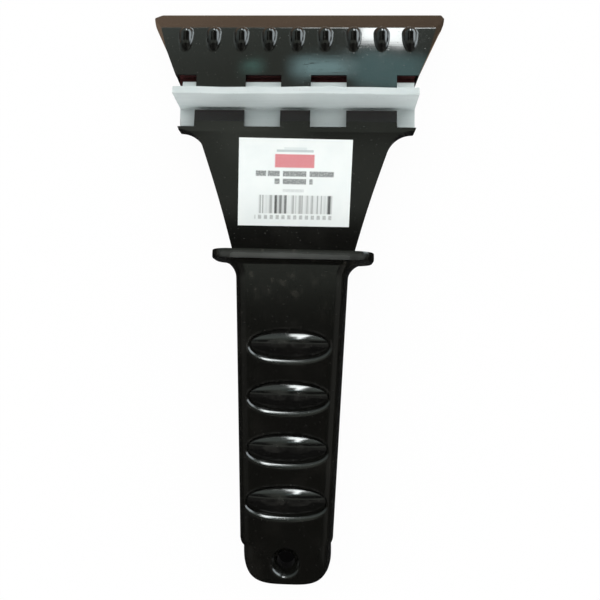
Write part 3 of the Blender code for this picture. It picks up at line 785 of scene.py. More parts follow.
def rib_shape():
    """One rib in the plate's frame: steep nose, crest sinking into the plate, concave foot."""
    crest = max(RIB_CREST - RIB_SINK - RIB_RADIUS * math.tan(RIB_TILT), RIB_FOOT)
    levels = [-RIB_ROOT] + [RIB_FOOT * share for share in RIB_FOOT_SHARES]
    levels += [RIB_FOOT + (crest - RIB_FOOT) * (1 - (1 - step / RIB_LEVELS) ** 2)
               for step in range(1, RIB_LEVELS + 1)]
    return rings_mesh("rib_shape", [rib_ring(level) for level in levels])


def make_ribs(material):
    """Nine ribs as one body, ready to be joined with the plate."""
    nose = Vector((-RIB_PITCH * (RIB_COUNT - 1) / 2, -(BEVEL_LENGTH + RIB_SETBACK) / math.cos(HEAD_TILT),
                   PLATE_THICKNESS))
    ribs = grown_row("ribs", rib_shape(), {
        "Count": RIB_COUNT, "Pitch": (RIB_PITCH, 0.0, 0.0), "First": head_frame() @ nose,
        "Turn": (-HEAD_TILT, 0.0, 0.0), "Material": material})
    smooth(ribs.data)
    return ribs


def plant_ribs(head, ribs):
    """Set the ribs into the plate: their closed bodies reach a little way into it."""
    with opened(head.data) as shape:
        shape.from_mesh(ribs.data)
    bpy.data.objects.remove(ribs, do_unlink=True)


def make_head(plastic, ground):
    """Blade, ribs, slot block, neck and tang in one moulding."""
    head = prism("blade_and_neck", head_outline(), -OVERRUN, HANDLE_DEPTH)
    reach = BLADE_WIDTH / 2 + OVERRUN
    combine(head, prism("side_view", head_profile(), -reach, reach, SIDEWAYS), "INTERSECT")
    tidy_mesh(head)
    break_edges(head, NECK_ROUND, 5, is_front_neck_side)
    break_edges(head, BACK_CHAMFER, 2, is_back_neck_side)
    for side in (1, -1):
        combine(head, side_bevel_cutter(side), "DIFFERENCE")
    place = head_frame()
    reach = SLOT_BLOCK_WIDTH / 2 + OVERRUN
    half = CHANNEL_WIDTH / 2
    combine(head, block("channel", (-reach, SLOT_MIDDLE - half, SLOT_FLOOR),
                        (reach, SLOT_MIDDLE + half, SLOT_FLOOR + CHANNEL_HEIGHT), place), "DIFFERENCE")
    combine(head, prism("gaps", finger_gaps(), SLOT_FLOOR + CHANNEL_HEIGHT / 2,
                        PLATE_THICKNESS + OVERRUN, place), "DIFFERENCE")
    tidy_mesh(head)
    break_edges(head, EDGE_BREAK, 3, head_edge_is_broken)
    bore = PEG_DIAMETER / 2 + FIT_GAP
    for y in PEG_PLACES:
        combine(head, turned("tang_bore", 0.0, y, [(bore, -OVERRUN), (bore, HANDLE_DEPTH)]), "DIFFERENCE")
    plant_ribs(head, make_ribs(plastic))
    finish_piece(head, "root", "head_plastic", ["scraper_head"], plastic, ground)
    paint_ground_faces(head.data)


def head_edge_is_broken(edge):
    """Every edge is broken but the keen one, the slot's floor and the hidden tang."""
    middle = (edge.verts[0].co + edge.verts[1].co) / 2
    if middle.y < NECK_END + EDGE_BREAK or middle.y > TIP - BEVEL_LENGTH / 2:
        return False
    local = head_frame().inverted() @ middle
    return local.z > SLOT_FLOOR + CHANNEL_HEIGHT + FIT_GAP or local.z < SLOT_FLOOR - FIT_GAP


def paint_ground_faces(mesh):
    """Give the ground bevels at the edge their own finish."""
    for face in mesh.polygons:
        slants = GROUND_LEAST < face.normal.z < math.cos(GROUND_SLANT) and face.normal.y > RUNS_ALONG
        if slants and face.center.y > TIP - BEVEL_LENGTH:
            face.material_index = 1


def strip_profile():
    """Section of the strip: a flat base with the wiping lip standing on it."""
    base = STRIP_BASE_WIDTH / 2 - STRIP_ROUND
    lip = LIP_THICKNESS / 2
    foot = STRIP_BASE_THICKNESS + LIP_ROOT
    half = [
        *arc((base, STRIP_ROUND), STRIP_ROUND, 270, 360, 4),
        *arc((base, STRIP_BASE_THICKNESS - STRIP_ROUND), STRIP_ROUND, 0, 90, 4),
        *arc((lip + LIP_ROOT, foot), LIP_ROOT, 270, 180, 6),
        *[(lip, foot + (LIP_HEIGHT - foot - LIP_ROOT) * step / 8) for step in range(1, 8)],
        *arc((lip - STRIP_ROUND, LIP_HEIGHT - STRIP_ROUND), STRIP_ROUND, 0, 90, 4),
    ]
    return mirrored(half)


def make_strip(rubber):
    """Rubber strip: its lip is slightly wavy along the blade, as a cut length of rubber is."""
    outline = strip_profile()
    rings = []
    for step in range(STRIP_STEPS + 1):
        share = 2 * step / STRIP_STEPS - 1
        wave = sum(height * MM * math.sin(pace * share + start) for height, pace, start in LIP_WAVES)
        ring = []
        for across, up in outline:
            bend = max(0.0, (up - STRIP_BASE_THICKNESS) / (LIP_HEIGHT - STRIP_BASE_THICKNESS))
            shift = (LIP_OFFSET if abs(across) < LIP_THICKNESS else 0.0) + LIP_LEAN * bend
            trim = STRIP_BASE_TRIM * max(0.0, -share) ** 6 if up <= STRIP_BASE_THICKNESS else 0.0
            x = STRIP_LENGTH / 2 * share + STRIP_DRIFT + trim
            ring.append((x, across + shift + wave * bend * bend, up))
        rings.append(ring)
    strip = rings_mesh("rubber_strip", rings)
    place = Matrix.Translation((0.0, SLOT_MIDDLE, SLOT_FLOOR + FIT_GAP))
    strip.data.transform(head_frame() @ place)
    finish_piece(strip, "strip", "strip_rubber", ["squeegee_strip"], rubber)


def half_width(y):
    """Half of the handle's width at a station."""
    share = (y - SHELL_END) / (GUARD_UNDER - SHELL_END)
    return (HANDLE_END_WIDTH + (HANDLE_TOP_WIDTH - HANDLE_END_WIDTH) * share) / 2


def section(half, low, high, share):
    """Right half of a section, from the back to the face. The share turns handle into guard."""
    radius = BACK_CORNER + (GUARD_CORNER - BACK_CORNER) * share
    back = arc((half - radius, low + radius), radius, -90, 0, END_STEPS)
    round_front = arc((-GUARD_CORNER, -GUARD_CORNER), GUARD_CORNER, 0, 90, len(CORNER_LINE) - 1)
    front = [(half + across * MM + (round_across - across * MM) * share,
              high + up * MM + (round_up - up * MM) * share)
             for (across, up), (round_across, round_up) in zip(CORNER_LINE, round_front)]
    return back + front


def ring_at(y, half, low, high, share):
    """One closed ring of the handle at a station, askew where it is guard."""
    right = section(half, low, high, share)
    left = [(-x * (1 - GUARD_SHORTER_LEFT * share), z) for x, z in reversed(right)]
    return [(x, y + GUARD_SKEW * x * share, z) for x, z in right + left]


def handle_body(name):
    """Handle and guard in one smooth form, from the rounded end to the guard's top."""
    rings = []
    for angle in quarter_turn(END_STEPS):
        inset = END_ROUND * (1 - math.sin(angle))
        y = SHELL_END + END_ROUND * (1 - math.cos(angle))
        rings.append(ring_at(y, half_width(y) - inset, inset, HANDLE_DEPTH - inset, 0.0))
    flare = GUARD_UNDER - PLAN_FILLET
    side = half_width(flare)
    for angle in quarter_turn(FLARE_STEPS):
        y = flare + PLAN_FILLET * math.sin(angle)
        half = side + PLAN_FILLET * (1 - math.cos(angle))
        near = max(0.0, (y - (GUARD_UNDER - FACE_FILLET)) / FACE_FILLET)
        rise = FACE_FILLET * (1 - math.sqrt(max(0.0, 1 - near * near)))
        share = (half - side) / (GUARD_HALF_WIDTH - side)
        rings.append(ring_at(y, half, 0.0, HANDLE_DEPTH + rise, share))
    for front_inset, side_inset, along in GUARD_RIM:
        low = side_inset * MM if along * MM > GUARD_THICKNESS / 2 else 0.0
        rings.append(ring_at(GUARD_UNDER + along * MM, GUARD_HALF_WIDTH - side_inset * MM, low,
                             GUARD_DEPTH - front_inset * MM, 1.0))
    return rings_mesh(name, rings)


def tab_body():
    """Hanging tab: a bulging end, whose outline shrinks towards the face like the handle's."""
    rings = []
    levels = [(0.0, (FRONT_PARTING - HANDLE_DEPTH) / MM)] + list(CORNER_LINE[1:])
    for across, up in levels:
        inset = -across * MM
        half = []
        for angle in quarter_turn(TAB_STEPS):
            x = (TAB_WIDTH / 2 - inset) * math.sin(angle) ** (2 / TAB_FULLNESS)
            rise = TAB_END_DEPTH * (1 - math.cos(angle) ** (2 / TAB_FULLNESS))
            end = inset - min(inset, TAB_DRAFTED) * (1 - TAB_END_DRAFT)
            half.append((x, TAB_END + end + rise * (1 - end / TAB_END_DEPTH)))
        half.append((TAB_WIDTH / 2 - inset, SHELL_END + TAB_ROOT))
        rings.append([(x + TAB_DRIFT + TAB_SKEW * (SHELL_END + TAB_ROOT - y), y, HANDLE_DEPTH + up * MM)
                      for x, y in mirrored(half)])
    return rings_mesh("tab", rings)


def seat_cutter(y):
    """Oval seat: flat floor, and a wall that is steep above and rolls over widely below."""
    rings = []
    widest = SEAT_WALL[-1][0] * MM
    floor = HANDLE_DEPTH - SEAT_DEPTH
    levels = [(widest - grow * MM, floor + rise * MM) for grow, rise in SEAT_WALL]
    levels.append((-OVERRUN, HANDLE_DEPTH + OVERRUN / 4))
    for inset, height in levels:
        ring = []
        for angle in full_turn(OVAL_STEPS):
            share = SEAT_STEEP_SHARE + (1 - SEAT_STEEP_SHARE) * (1 - math.sin(angle)) / 2
            kept = inset * (share if inset > 0.0 else 1.0)
            across, up = [math.copysign(abs(value) ** (2 / SEAT_FULLNESS), value)
                          for value in (math.cos(angle), math.sin(angle))]
            ring.append(((SEAT_LENGTH / 2 - kept) * across,
                         y + SEAT_SHIFT + (SEAT_WIDTH / 2 - kept) * up, height))
        rings.append(ring)
    return rings_mesh("seat", rings)


def handle_between(name, low, high):
    """The part of the handle between two heights."""
    shell = handle_body(name)
    reach = GUARD_HALF_WIDTH + OVERRUN
    combine(shell, block("half", (-reach, TAB_END - OVERRUN, low), (reach, GUARD_TOP + OVERRUN, high)),
            "INTERSECT")
    return shell


def hollow(shell):
    """Hollow a shell and open the guard for the tang."""
    start = SHELL_END + SIDE_WALL
    end = GUARD_UNDER - SIDE_WALL
    half = [(half_width(start) - 2 * SIDE_WALL, start), (half_width(end) - 2 * SIDE_WALL, end)]
    combine(shell, prism("hollow", mirrored(half), BACK_WALL, HANDLE_DEPTH - FRONT_WALL), "DIFFERENCE")
    half_tang = TANG_WIDTH / 2 + FIT_GAP
    combine(shell, block("tang_opening", (-half_tang, end - OVERRUN, NECK_BACK - FIT_GAP),
                         (half_tang, GUARD_TOP + OVERRUN, TANG_FRONT + FIT_GAP)), "DIFFERENCE")


def outer_parting_edge(edge):
    """Pick the shells' outer edges along the parting line."""
    for vert in edge.verts:
        near_parting = min(abs(vert.co.z - FRONT_PARTING), abs(vert.co.z - BACK_PARTING)) < MERGE_DISTANCE
        outside = (vert.co.y < SHELL_END + SIDE_WALL / 2 or vert.co.y > GUARD_TOP - SIDE_WALL
                   or abs(vert.co.x) > half_width(vert.co.y) - SIDE_WALL / 2)
        if not near_parting or not outside:
            return False
    return True


def post(y, diameter, low, high):
    """A round bar on the middle line, for a boss, a peg or a bore."""
    return turned("post", 0.0, y, [(diameter / 2, low), (diameter / 2, high)], 32)


def finish_shell(shell, node, plastic):
    """Clean a shell, round its outer parting edges and give it its shading and material."""
    tidy_mesh(shell)
    break_edges(shell, PART_EDGE, 2, outer_parting_edge)
    finish_piece(shell, "root", "handle_plastic", [node], plastic)


def make_front_shell(plastic):
    """Front half of the handle, with the pad seats and the hanging tab."""
    shell = handle_between("handle_front", FRONT_PARTING, GUARD_DEPTH + OVERRUN)
    combine(shell, tab_body(), "UNION")
    hollow(shell)
    inner_face = HANDLE_DEPTH - FRONT_WALL
    for y in PEG_PLACES:
        combine(shell, post(y, BOSS_DIAMETER, TANG_FRONT + FIT_GAP, inner_face + BOSS_ROOT), "UNION")
        combine(shell, post(y, PEG_DIAMETER + 2 * FIT_GAP, MID_DEPTH, inner_face), "DIFFERENCE")
    for index in range(PAD_COUNT):
        combine(shell, seat_cutter(FIRST_PAD + index * PAD_PITCH), "DIFFERENCE")
    bore = HANG_BORE / 2
    profile = [(bore, 0.0)]
    profile += [(bore + grow * MM, HANDLE_DEPTH + rise * MM) for grow, rise in HANG_SINK]
    profile += [(bore + OVERRUN, HANDLE_DEPTH + OVERRUN / 4)]
    combine(shell, turned("hang_hole", TAB_DRIFT, HANG_HOLE, profile), "DIFFERENCE")
    finish_shell(shell, "handle_front_shell", plastic)


def make_back_shell(plastic):
    """Back half of the handle, with the pegs that hold the tang and four ejector marks."""
    shell = handle_between("handle_back", -OVERRUN, BACK_PARTING)
    hollow(shell)
    for y in PEG_PLACES:
        combine(shell, post(y, BOSS_DIAMETER, BACK_WALL - BOSS_ROOT, NECK_BACK - FIT_GAP), "UNION")
        combine(shell, post(y, PEG_DIAMETER, BACK_WALL, HANDLE_DEPTH - FRONT_WALL - FIT_GAP), "UNION")
    profile = [(EJECTOR_RADIUS, -OVERRUN), (EJECTOR_RADIUS, EJECTOR_DEPTH)]
    for x in (-EJECTOR_ASIDE, EJECTOR_ASIDE):
        for y in EJECTOR_PLACES:
            combine(shell, turned("ejector_mark", x, y, profile, 40), "DIFFERENCE")
    finish_shell(shell, "handle_back_shell", plastic)


def pad_shape():
    """One pad about the origin: a flat foot and a low lens-like crown."""
    rings = []
    for angle in quarter_turn(CROWN_STEPS):
        shrink = max(math.cos(angle), PAD_TOP_SHARE)
        height = PAD_CROWN * (1 - shrink * shrink)
        rings.append([(PAD_LENGTH / 2 * shrink * math.cos(turn),
                       PAD_WIDTH / 2 * shrink * math.sin(turn), height) for turn in full_turn(OVAL_STEPS)])
    return rings_mesh("pad_shape", rings)


def make_pads(plastic):
    """Four crowned pads in their seats."""
    pads = grown_row("grip_domes", pad_shape(), {
        "Count": PAD_COUNT, "Pitch": (0.0, PAD_PITCH, 0.0), "Turn": (0.0, 0.0, 0.0), "Material": plastic,
        "First": (0.0, FIRST_PAD + PAD_SHIFT, HANDLE_DEPTH - SEAT_DEPTH + FIT_GAP)})
    nodes = ["grip_pad_%d" % number for number in range(1, PAD_COUNT + 1)]
    finish_piece(pads, "root", "pad_plastic", nodes, plastic)


def make_label(film):
    """Label of thin film on the neck, lying not quite flat, with its own print coordinates."""
    low_left, low_right, top_left, top_right = [Vector(corner) * MM for corner in LABEL_CORNERS]
    mesh = bpy.data.meshes.new("label")
    with opened(mesh) as shape:
        bmesh.ops.create_grid(shape, x_segments=LABEL_COLUMNS, y_segments=LABEL_ROWS, size=0.5)
        places = {vert: (vert.co.x + 0.5, vert.co.y + 0.5) for vert in shape.verts}
        for vert, (across, up) in places.items():
            spot = low_left.lerp(low_right, across).lerp(top_left.lerp(top_right, across), up)
            rim = max(abs(2 * across - 1), abs(2 * up - 1)) ** 16
            lift = LABEL_LIFT + LABEL_WAVE * math.sin(9 * across + 2) * math.sin(7 * up) + LABEL_CURL * rim
            vert.co = (spot.x, spot.y, neck_front(spot.y) + lift)
        print_layer = shape.loops.layers.uv.new("print")
        for face in shape.faces:
            for loop in face.loops:
                loop[print_layer].uv = places[loop.vert]
    label = link("label", mesh)
    thicken = label.modifiers.new("film", "SOLIDIFY")
    thicken.thickness = LABEL_THICKNESS
    thicken.offset = 1.0
    settle(label)
    finish_piece(label, "root", "label_film", ["neck_label"], film)


class Finish(Nodes):
    """The nodes of one material, with its Principled BSDF and its own coordinates."""

    def __init__(self, name, colour, roughness):
        self.material = bpy.data.materials.new(name)
        self.material.use_nodes = True
        self.material.diffuse_color = (*colour, 1.0)
        super().__init__(self.material.node_tree)
        self.shader = self.tree.nodes["Principled BSDF"]
        self.shader.inputs["Base Color"].default_value = (*colour, 1.0)
        self.shader.inputs["Roughness"].default_value = roughness
        self.vector = self.add("ShaderNodeTexCoord", {}).outputs["Object"]

    def rubbed_edges(self):
        """Wear of the piece's marked edges."""
        mark = self.add("ShaderNodeAttribute", {}, attribute_name="worn_edge").outputs["Fac"]
        return self.effect(rubbing, Mark=mark)["Wear"]

    def joined(self, base, rough, height):
        """Join colour, roughness and a height in millimetres to the shader, and return the material."""
        bump = self.add("ShaderNodeBump", {"Distance": MM, "Height": height})
        for name, value in (("Base Color", base), ("Roughness", rough), ("Normal", bump.outputs["Normal"])):
            self.feed(self.shader.inputs[name], value)
        return self.material


def shared_effect(name, amounts, outputs):
    """An empty shader node group that takes a vector and named amounts."""
    tree = bpy.data.node_groups.new(name, "ShaderNodeTree")
    tree.interface.new_socket("Vector", in_out="INPUT", socket_type="NodeSocketVector")
    for label, value in amounts.items():
        tree.interface.new_socket(label, in_out="INPUT", socket_type="NodeSocketFloat").default_value = value
    for label in outputs:
        tree.interface.new_socket(label, in_out="OUTPUT", socket_type="NodeSocketFloat")
    given = tree.nodes.new("NodeGroupInput").outputs
    return Nodes(tree, given["Vector"]), given


def moulded_skin():
    """Shader group: the fine peel and the slow sinks of a moulded face, as a height."""
    nodes, given = shared_effect("moulded skin", {"Peel": 0.5, "Sinks": 1.0, "Flow": 1.0}, ["Height"])
    peel = nodes.times(nodes.grain(1500.0), given["Peel"])
    sinks = nodes.times(nodes.grain(70.0, 1.0), given["Sinks"])
    flow = nodes.times(nodes.grain(260.0, 2.0, (0.12, 1.0, 1.0)), given["Flow"])
    nodes.add("NodeGroupOutput", {"Height": nodes.plus(peel, sinks, flow)})
    return nodes.tree


def handling_wear():
    """Shader group: hairline scratches, dust specks and smudges from use."""
    amounts = {"Scratches": 0.5, "Dust": 0.5, "Smudges": 0.5}
    nodes, given = shared_effect("handling wear", amounts, amounts)
    lines = []
    for turn, stretch in ((0.35, 0.05), (-0.9, 0.06), (1.45, 0.04)):
        streaks = nodes.grain(2600.0, 1.0, (stretch, 1.0, 1.0), (0.0, 0.0, turn))
        patch = nodes.ramp(nodes.grain(120.0, 1.0, turn=(turn, 0.0, turn)), 0.48, 0.62)
        lines.append(nodes.times(nodes.ramp(streaks, 0.69, 0.76), patch))
    marks = {
        "Scratches": reduce(lambda first, second: nodes.maths("MAXIMUM", first, second), lines),
        "Dust": nodes.ramp(nodes.grain(1700.0, 0.0), 0.79, 0.83),
        "Smudges": nodes.ramp(nodes.grain(90.0, 4.0), 0.5, 0.72),
    }
    nodes.add("NodeGroupOutput", {label: nodes.times(mark, given[label]) for label, mark in marks.items()})
    return nodes.tree


def edge_wear():
    """Shader group: broken wear along the marked edges."""
    nodes, given = shared_effect("edge wear", {"Mark": 0.0}, ["Wear"])
    patchy = nodes.ramp(nodes.grain(420.0, 3.0), 0.38, 0.62, 0.25, 1.0)
    nodes.add("NodeGroupOutput", {"Wear": nodes.times(given["Mark"], patchy)})
    return nodes.tree


def worn_plastic(name, colour, roughness, skin, wear, special=None):
    """Black moulded plastic with its skin, scratches, dust, smudges and rubbed edges."""
    look = Finish(name, colour, roughness)
    marks = look.effect(handling, **wear)
    rub_and_sheen = look.rubbed_edges()
    base, rough, height = colour, roughness, look.effect(skin_effect, **skin)["Height"]
    if special is not None:
        base, rough, height = special(look, base, rough, height)
    base = look.tint(base, (0.11, 0.1, 0.085), marks["Smudges"], 0.06)
    base = look.tint(base, (0.2, 0.2, 0.18), marks["Dust"], 0.35)
    base = look.tint(base, (0.1, 0.1, 0.09), rub_and_sheen, 0.1)
    scratches = marks["Scratches"]
    for mask, share in ((marks["Smudges"], 0.08), (marks["Dust"], 0.3), (scratches, 0.12), (rub_and_sheen, 0.1)):
        rough = look.plus(rough, look.times(mask, share))
    return look.joined(base, rough, look.plus(height, look.times(scratches, -0.0015)))


def head_zones(look, base, rough, height):
    """The blade is polished, the neck satin, and the slot's depths get a painted dark maroon reflection."""
    across, along, _ = look.split(look.vector)
    rough = look.ramp(along, *POLISH_STARTS, POLISHED_ROUGHNESS, rough)
    place = look.add("ShaderNodeMapping", {
        "Location": (0.0, TIP, 0.0), "Rotation": (-HEAD_TILT, 0.0, 0.0), "Vector": look.vector},
        vector_type="TEXTURE")
    _, up_plate, depth = look.split(place.outputs[0])
    above = look.ramp(depth, *SLOT_REFLECTION_BACK)
    sides = look.fall(look.maths("ABSOLUTE", across), *SLOT_REFLECTION_SIDES)
    # Painted reflection: a dark maroon in the slot's depths and, fainter, on the fingers beside the strip.
    base = look.tint(base, (0.042, 0.0145, 0.0145), look.ramp(up_plate, *SLOT_REFLECTION_MIDDLE),
                     look.fall(up_plate, *SLOT_REFLECTION_TOP), look.fall(depth, *SLOT_REFLECTION_FRONT), above, sides)
    base = look.tint(base, (0.013, 0.006, 0.005), look.ramp(up_plate, *SLOT_REFLECTION_FINGERS),
                     look.fall(up_plate, *SLOT_REFLECTION_MIDDLE), above, 0.5)
    lines = look.times(look.grain(1500.0, 2.0, (0.05, 1.0, 1.0)), 0.0009)
    return base, rough, look.plus(height, lines)


def handle_zones(look, base, rough, height):
    """Dusty finger marks under the guard, fading towards the pads, and a painted highlight band along the
    guard's crest.
    """
    across, along, up = look.split(look.vector)
    prints = look.ramp(look.grain(330.0, 5.0, (1.0, 0.7, 1.0), (0.0, 0.0, 0.5)), 0.56, 0.72)
    base = look.tint(base, (0.13, 0.12, 0.1), look.ramp(along, *DUSTY), prints, 0.12)
    # Painted highlight: a lighter band along the guard's crest, fainter towards its ends, with a rougher
    # finish.
    line = look.plus(along, look.times(across, -GUARD_SKEW))
    tone = look.ramp(look.grain(160.0, 3.0, (0.5, 1.0, 1.0)), 0.3, 0.7, 0.6, 1.0)
    ends = look.ramp(look.maths("ABSOLUTE", across), *CREST_SHEEN_ENDS, 1.0, 0.5)
    rub_and_sheen = look.times(look.ramp(up, *CREST_SHEEN_HEIGHT), look.ramp(line, *CREST_SHEEN_LINE), tone, ends)
    base = look.blend(rub_and_sheen, base, (0.07, 0.074, 0.069))
    return base, look.plus(look.times(rub_and_sheen, 0.25), rough), height


def ground_plastic():
    """Ground bevels: fine lines along the blade over dark plastic, tinted with a painted faint brown
    reflection.
    """
    # The faint brown in the bevels' colours is a painted reflection of the brown table top.
    look = Finish("ground bevels", (0.02, 0.0148, 0.011), 0.16)
    marks = look.effect(handling, Scratches=0.6, Dust=0.4, Smudges=0.5)
    lines = look.grain(2400.0, 2.0, (0.02, 1.0, 1.0))
    tone = look.grain(60.0, 3.0, (0.4, 1.0, 1.0))
    base = look.blend(look.ramp(tone, 0.35, 0.65), (0.017, 0.0125, 0.0095), (0.026, 0.019, 0.014))
    base = look.tint(base, (0.05, 0.04, 0.032), lines, 0.2)
    base = look.tint(base, (0.09, 0.075, 0.062), look.rubbed_edges(), 0.3)
    rough = look.plus(look.ramp(lines, 0.3, 0.7, 0.13, 0.2), look.times(marks["Smudges"], 0.08))
    return look.joined(base, rough, look.times(lines, 0.0012))


def strip_rubber():
    """Pale grey rubber: cloudy, streaked along its length, with dust and smudges."""
    look = Finish("pale grey rubber", (0.58, 0.645, 0.64), 0.55)
    marks = look.effect(handling, Scratches=0.7, Dust=0.5, Smudges=0.8)
    streaks = look.grain(1100.0, 3.0, (0.03, 1.0, 1.0))
    clouds = look.grain(120.0, 3.0, (0.5, 1.0, 1.0))
    base = look.blend(look.ramp(clouds, 0.3, 0.7), (0.55, 0.615, 0.61), (0.61, 0.67, 0.665))
    base = look.blend(look.ramp(streaks, 0.45, 0.75, 0.0, 0.3), base, (0.46, 0.52, 0.53))
    base = look.tint(base, (0.42, 0.45, 0.43), marks["Smudges"], 0.12)
    base = look.tint(base, (0.3, 0.31, 0.3), marks["Dust"], 0.5)
    rough = look.ramp(clouds, 0.3, 0.7, 0.48, 0.62)
    return look.joined(base, rough, look.plus(
        look.times(streaks, 0.006), look.times(look.grain(2200.0), 0.0025)))


def stepped_noise(look, value, steps):
    """A random value for each of so many equal steps."""
    step = look.maths("FLOOR", look.times(value, steps))
    return look.add("ShaderNodeTexWhiteNoise", {"W": step}, noise_dimensions="1D").outputs["Value"]


def label_film():
    """White film with a generic print: a red block, grey bars and a field of plain stripes."""
    look = Finish("printed film", (0.88, 0.92, 0.905), 0.42)
    uv = look.add("ShaderNodeUVMap", {}, uv_map="print").outputs["UV"]
    across, up, _ = look.split(uv)
    marks = look.effect(handling, Scratches=0.3, Dust=0.25, Smudges=0.6)
    clouds = look.grain(150.0, 3.0)
    base = look.blend(look.ramp(clouds, 0.3, 0.7), (0.9, 0.955, 0.94), (0.94, 0.985, 0.965))
    pressing = look.ramp(look.grain(190.0, vector=uv), 0.25, 0.6, 0.72, 1.0)
    words = look.ramp(look.grain(17.0, 0.0, (1.0, 0.02, 1.0), vector=uv), 0.34, 0.37)
    letters = look.ramp(look.grain(78.0, 1.0, (1.0, 0.6, 1.0), vector=uv), 0.38, 0.54, 0.72, 1.0)
    breaks = look.times(words, letters)
    stripes = look.maths("MAXIMUM", look.ramp(stepped_noise(look, across, 88.0), 0.1, 1.0, 0.12, 0.62),
                         look.ramp(stepped_noise(look, across, 46.0), 0.72, 0.86))
    ticks = look.maths("FRACT", look.times(across, 19.0))
    short = look.times(look.ramp(ticks, 0.38, 0.5), letters)
    for box, colour, strength, pattern in (
            ((0.335, 0.66, 0.845, 0.872), (0.42, 0.5, 0.5), 0.75, 1.0),
            ((0.4, 0.6, 0.872, 0.9), (0.6, 0.68, 0.68), 0.45, 1.0),
            ((0.322, 0.67, 0.668, 0.82), (0.72, 0.09, 0.12), 0.85, 1.0),
            ((0.15, 0.845, 0.567, 0.628), (0.09, 0.1, 0.1), 0.85, breaks),
            ((0.322, 0.66, 0.479, 0.54), (0.09, 0.1, 0.1), 0.85, breaks),
            ((0.385, 0.585, 0.388, 0.422), (0.4, 0.43, 0.43), 0.4, breaks),
            ((0.185, 0.84, 0.142, 0.352), (0.03, 0.032, 0.032), 0.97, stripes),
            ((0.15, 0.84, 0.078, 0.124), (0.2, 0.21, 0.21), 0.6, short)):
        field = look.pane(across, up, *box, PRINT_SOFTNESS, PRINT_SOFTNESS)
        base = look.tint(base, colour, field, pressing, pattern, strength)
    base = look.tint(base, (0.6, 0.6, 0.56), marks["Smudges"], 0.05)
    rough = look.ramp(clouds, 0.3, 0.7, 0.36, 0.48)
    return look.joined(base, rough, look.times(look.grain(1300.0, 3.0), 0.004))


skin_effect = moulded_skin()
handling = handling_wear()
rubbing = edge_wear()
head_black = worn_plastic("polished black plastic", (0.0045, 0.0045, 0.004), 0.045,
                          {"Peel": 0.00005, "Sinks": 0.01, "Flow": 0.0012},
                          {"Scratches": 0.6, "Dust": 0.5, "Smudges": 0.35}, head_zones)
handle_black = worn_plastic("handle plastic", (0.0036, 0.0036, 0.003), 0.14,
                            {"Peel": 0.0003, "Sinks": 0.02, "Flow": 0.0015},
                            {"Scratches": 0.6, "Dust": 0.22, "Smudges": 0.5}, handle_zones)
pad_black = worn_plastic("pad plastic", (0.0035, 0.0036, 0.0034), 0.1,
                         {"Peel": 0.0002, "Sinks": 0.008, "Flow": 0.001},
                         {"Scratches": 0.5, "Dust": 0.2, "Smudges": 0.3})

make_head(head_black, ground_plastic())
make_strip(strip_rubber())
make_front_shell(handle_black)
make_back_shell(handle_black)
make_pads(pad_black)
make_label(label_film())


def studio_room():
    """Surroundings: a white backdrop, soft light for matt faces, and a room for glossy ones to mirror."""
    world = bpy.data.worlds.new("studio")
    bpy.context.scene.world = world
    world.use_nodes = True
    world.cycles.sampling_method = "NONE"
    nodes = Nodes(world.node_tree)
    across, along, up = nodes.split(nodes.add("ShaderNodeTexCoord", {}).outputs["Generated"])
    azimuth = nodes.times(nodes.maths("ARCTAN2", across, along), math.degrees(1.0))
    elevation = nodes.times(nodes.maths("ARCSINE", up), math.degrees(1.0))

    near = nodes.times(nodes.ramp(along, 0.05, 0.085), nodes.fall(along, 0.17, 0.22))
    far = nodes.times(nodes.ramp(along, 0.42, 0.52), nodes.ramp(up, 0.3, 0.7))
    sides = nodes.ramp(nodes.maths("ABSOLUTE", across), 0.5, 0.75, 1.0, 0.3)
    ceiling = nodes.times(nodes.plus(near, far), sides)
    room = nodes.blend(ceiling, (0.035, 0.034, 0.03), (0.45, 0.5, 0.43))
    for pane, colour in LIGHT_PANES:
        glow = nodes.pane(azimuth, elevation, *pane)
        room = nodes.blend(1.0, room, nodes.blend(glow, BLACK, colour), "ADD")

    behind = nodes.ramp(up, 0.5, 0.62, 2.0, 0.06)
    soft = nodes.ramp(along, -0.06, 0.06, behind, 1.55)
    paths = nodes.add("ShaderNodeLightPath", {}).outputs
    seen = nodes.blend(paths["Is Glossy Ray"], soft, room)
    seen = nodes.blend(paths["Is Camera Ray"], seen, WHITE)
    nodes.feed(nodes.tree.nodes["Background"].inputs["Color"], seen)


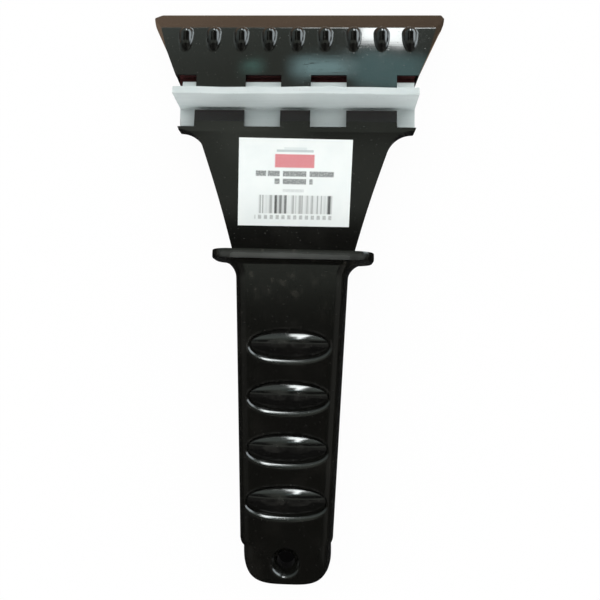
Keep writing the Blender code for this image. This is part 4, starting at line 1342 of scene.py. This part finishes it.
def pale_floor():
    """Plain white floor, with painted shade where the hang hole shows it. Glossy faces mirror a brown table
    top, dark near the scraper with painted shadow.
    """
    mesh = bpy.data.meshes.new("floor")
    with opened(mesh) as shape:
        bmesh.ops.create_grid(shape, x_segments=1, y_segments=1, size=FLOOR_REACH)
        bmesh.ops.translate(shape, vec=(0.0, 0.0, -FLOOR_DROP), verts=shape.verts)
    floor = bpy.data.objects.new("floor", mesh)
    bpy.context.scene.collection.objects.link(floor)
    look = Finish("pale floor", (0.9, 0.9, 0.9), 0.9)
    across, along, _ = look.split(look.vector)
    # Painted shade: a dark round spot on the floor below the hang hole, seen through it.
    spot = look.add("ShaderNodeVectorMath", {0: look.vector, 1: HOLE_SHADE}, operation="DISTANCE")
    shade = look.fall(spot.outputs["Value"], *HOLE_SHADE_REACH)
    brown = look.blend(look.ramp(across, *TABLE_SIDES), (0.56, 0.39, 0.27), (0.33, 0.235, 0.16))
    # Painted shadow: the mirrored table top is dark next to the scraper and brown beyond the blade.
    table = look.blend(look.ramp(along, *TABLE_STARTS), (0.02, 0.02, 0.02), brown)
    matt = look.add("ShaderNodeBsdfDiffuse", {"Color": look.blend(shade, (0.9, 0.9, 0.9), SHADE_COLOUR)})
    backdrop = look.add("ShaderNodeEmission", {"Color": look.blend(shade, WHITE, SHADE_COLOUR)})
    mirrored_table = look.add("ShaderNodeEmission", {"Color": table})
    paths = look.add("ShaderNodeLightPath", {}).outputs
    seen = look.add("ShaderNodeMixShader", {
        0: look.times(paths["Is Camera Ray"], 0.96), 1: matt.outputs[0], 2: backdrop.outputs[0]})
    whole = look.add("ShaderNodeMixShader", {
        0: paths["Is Glossy Ray"], 1: seen.outputs[0], 2: mirrored_table.outputs[0]})
    look.feed(look.tree.nodes["Material Output"].inputs["Surface"], whole.outputs[0])
    look.tree.nodes.remove(look.shader)
    mesh.materials.append(look.material)


def photo_camera():
    """Camera at the photograph's place: level with the guard, 234 mm above the floor."""
    turn = Matrix.Identity(4)
    for degrees, axis in CAMERA_TURNS:
        turn = turn @ Matrix.Rotation(math.radians(degrees), 4, axis)
    camera_data = bpy.data.cameras.new("camera")
    camera_data.lens = FOCAL_LENGTH
    camera_data.sensor_width = 36.0
    camera_data.clip_start = 0.01
    camera = bpy.data.objects.new("camera", camera_data)
    bpy.context.scene.collection.objects.link(camera)
    camera.matrix_world = Matrix.Translation(CAMERA_PLACE) @ turn
    bpy.context.scene.camera = camera


studio_room()
pale_floor()
photo_camera()
bpy.context.scene.view_settings.view_transform = "Standard"
bpy.data.collections.remove(workshop)
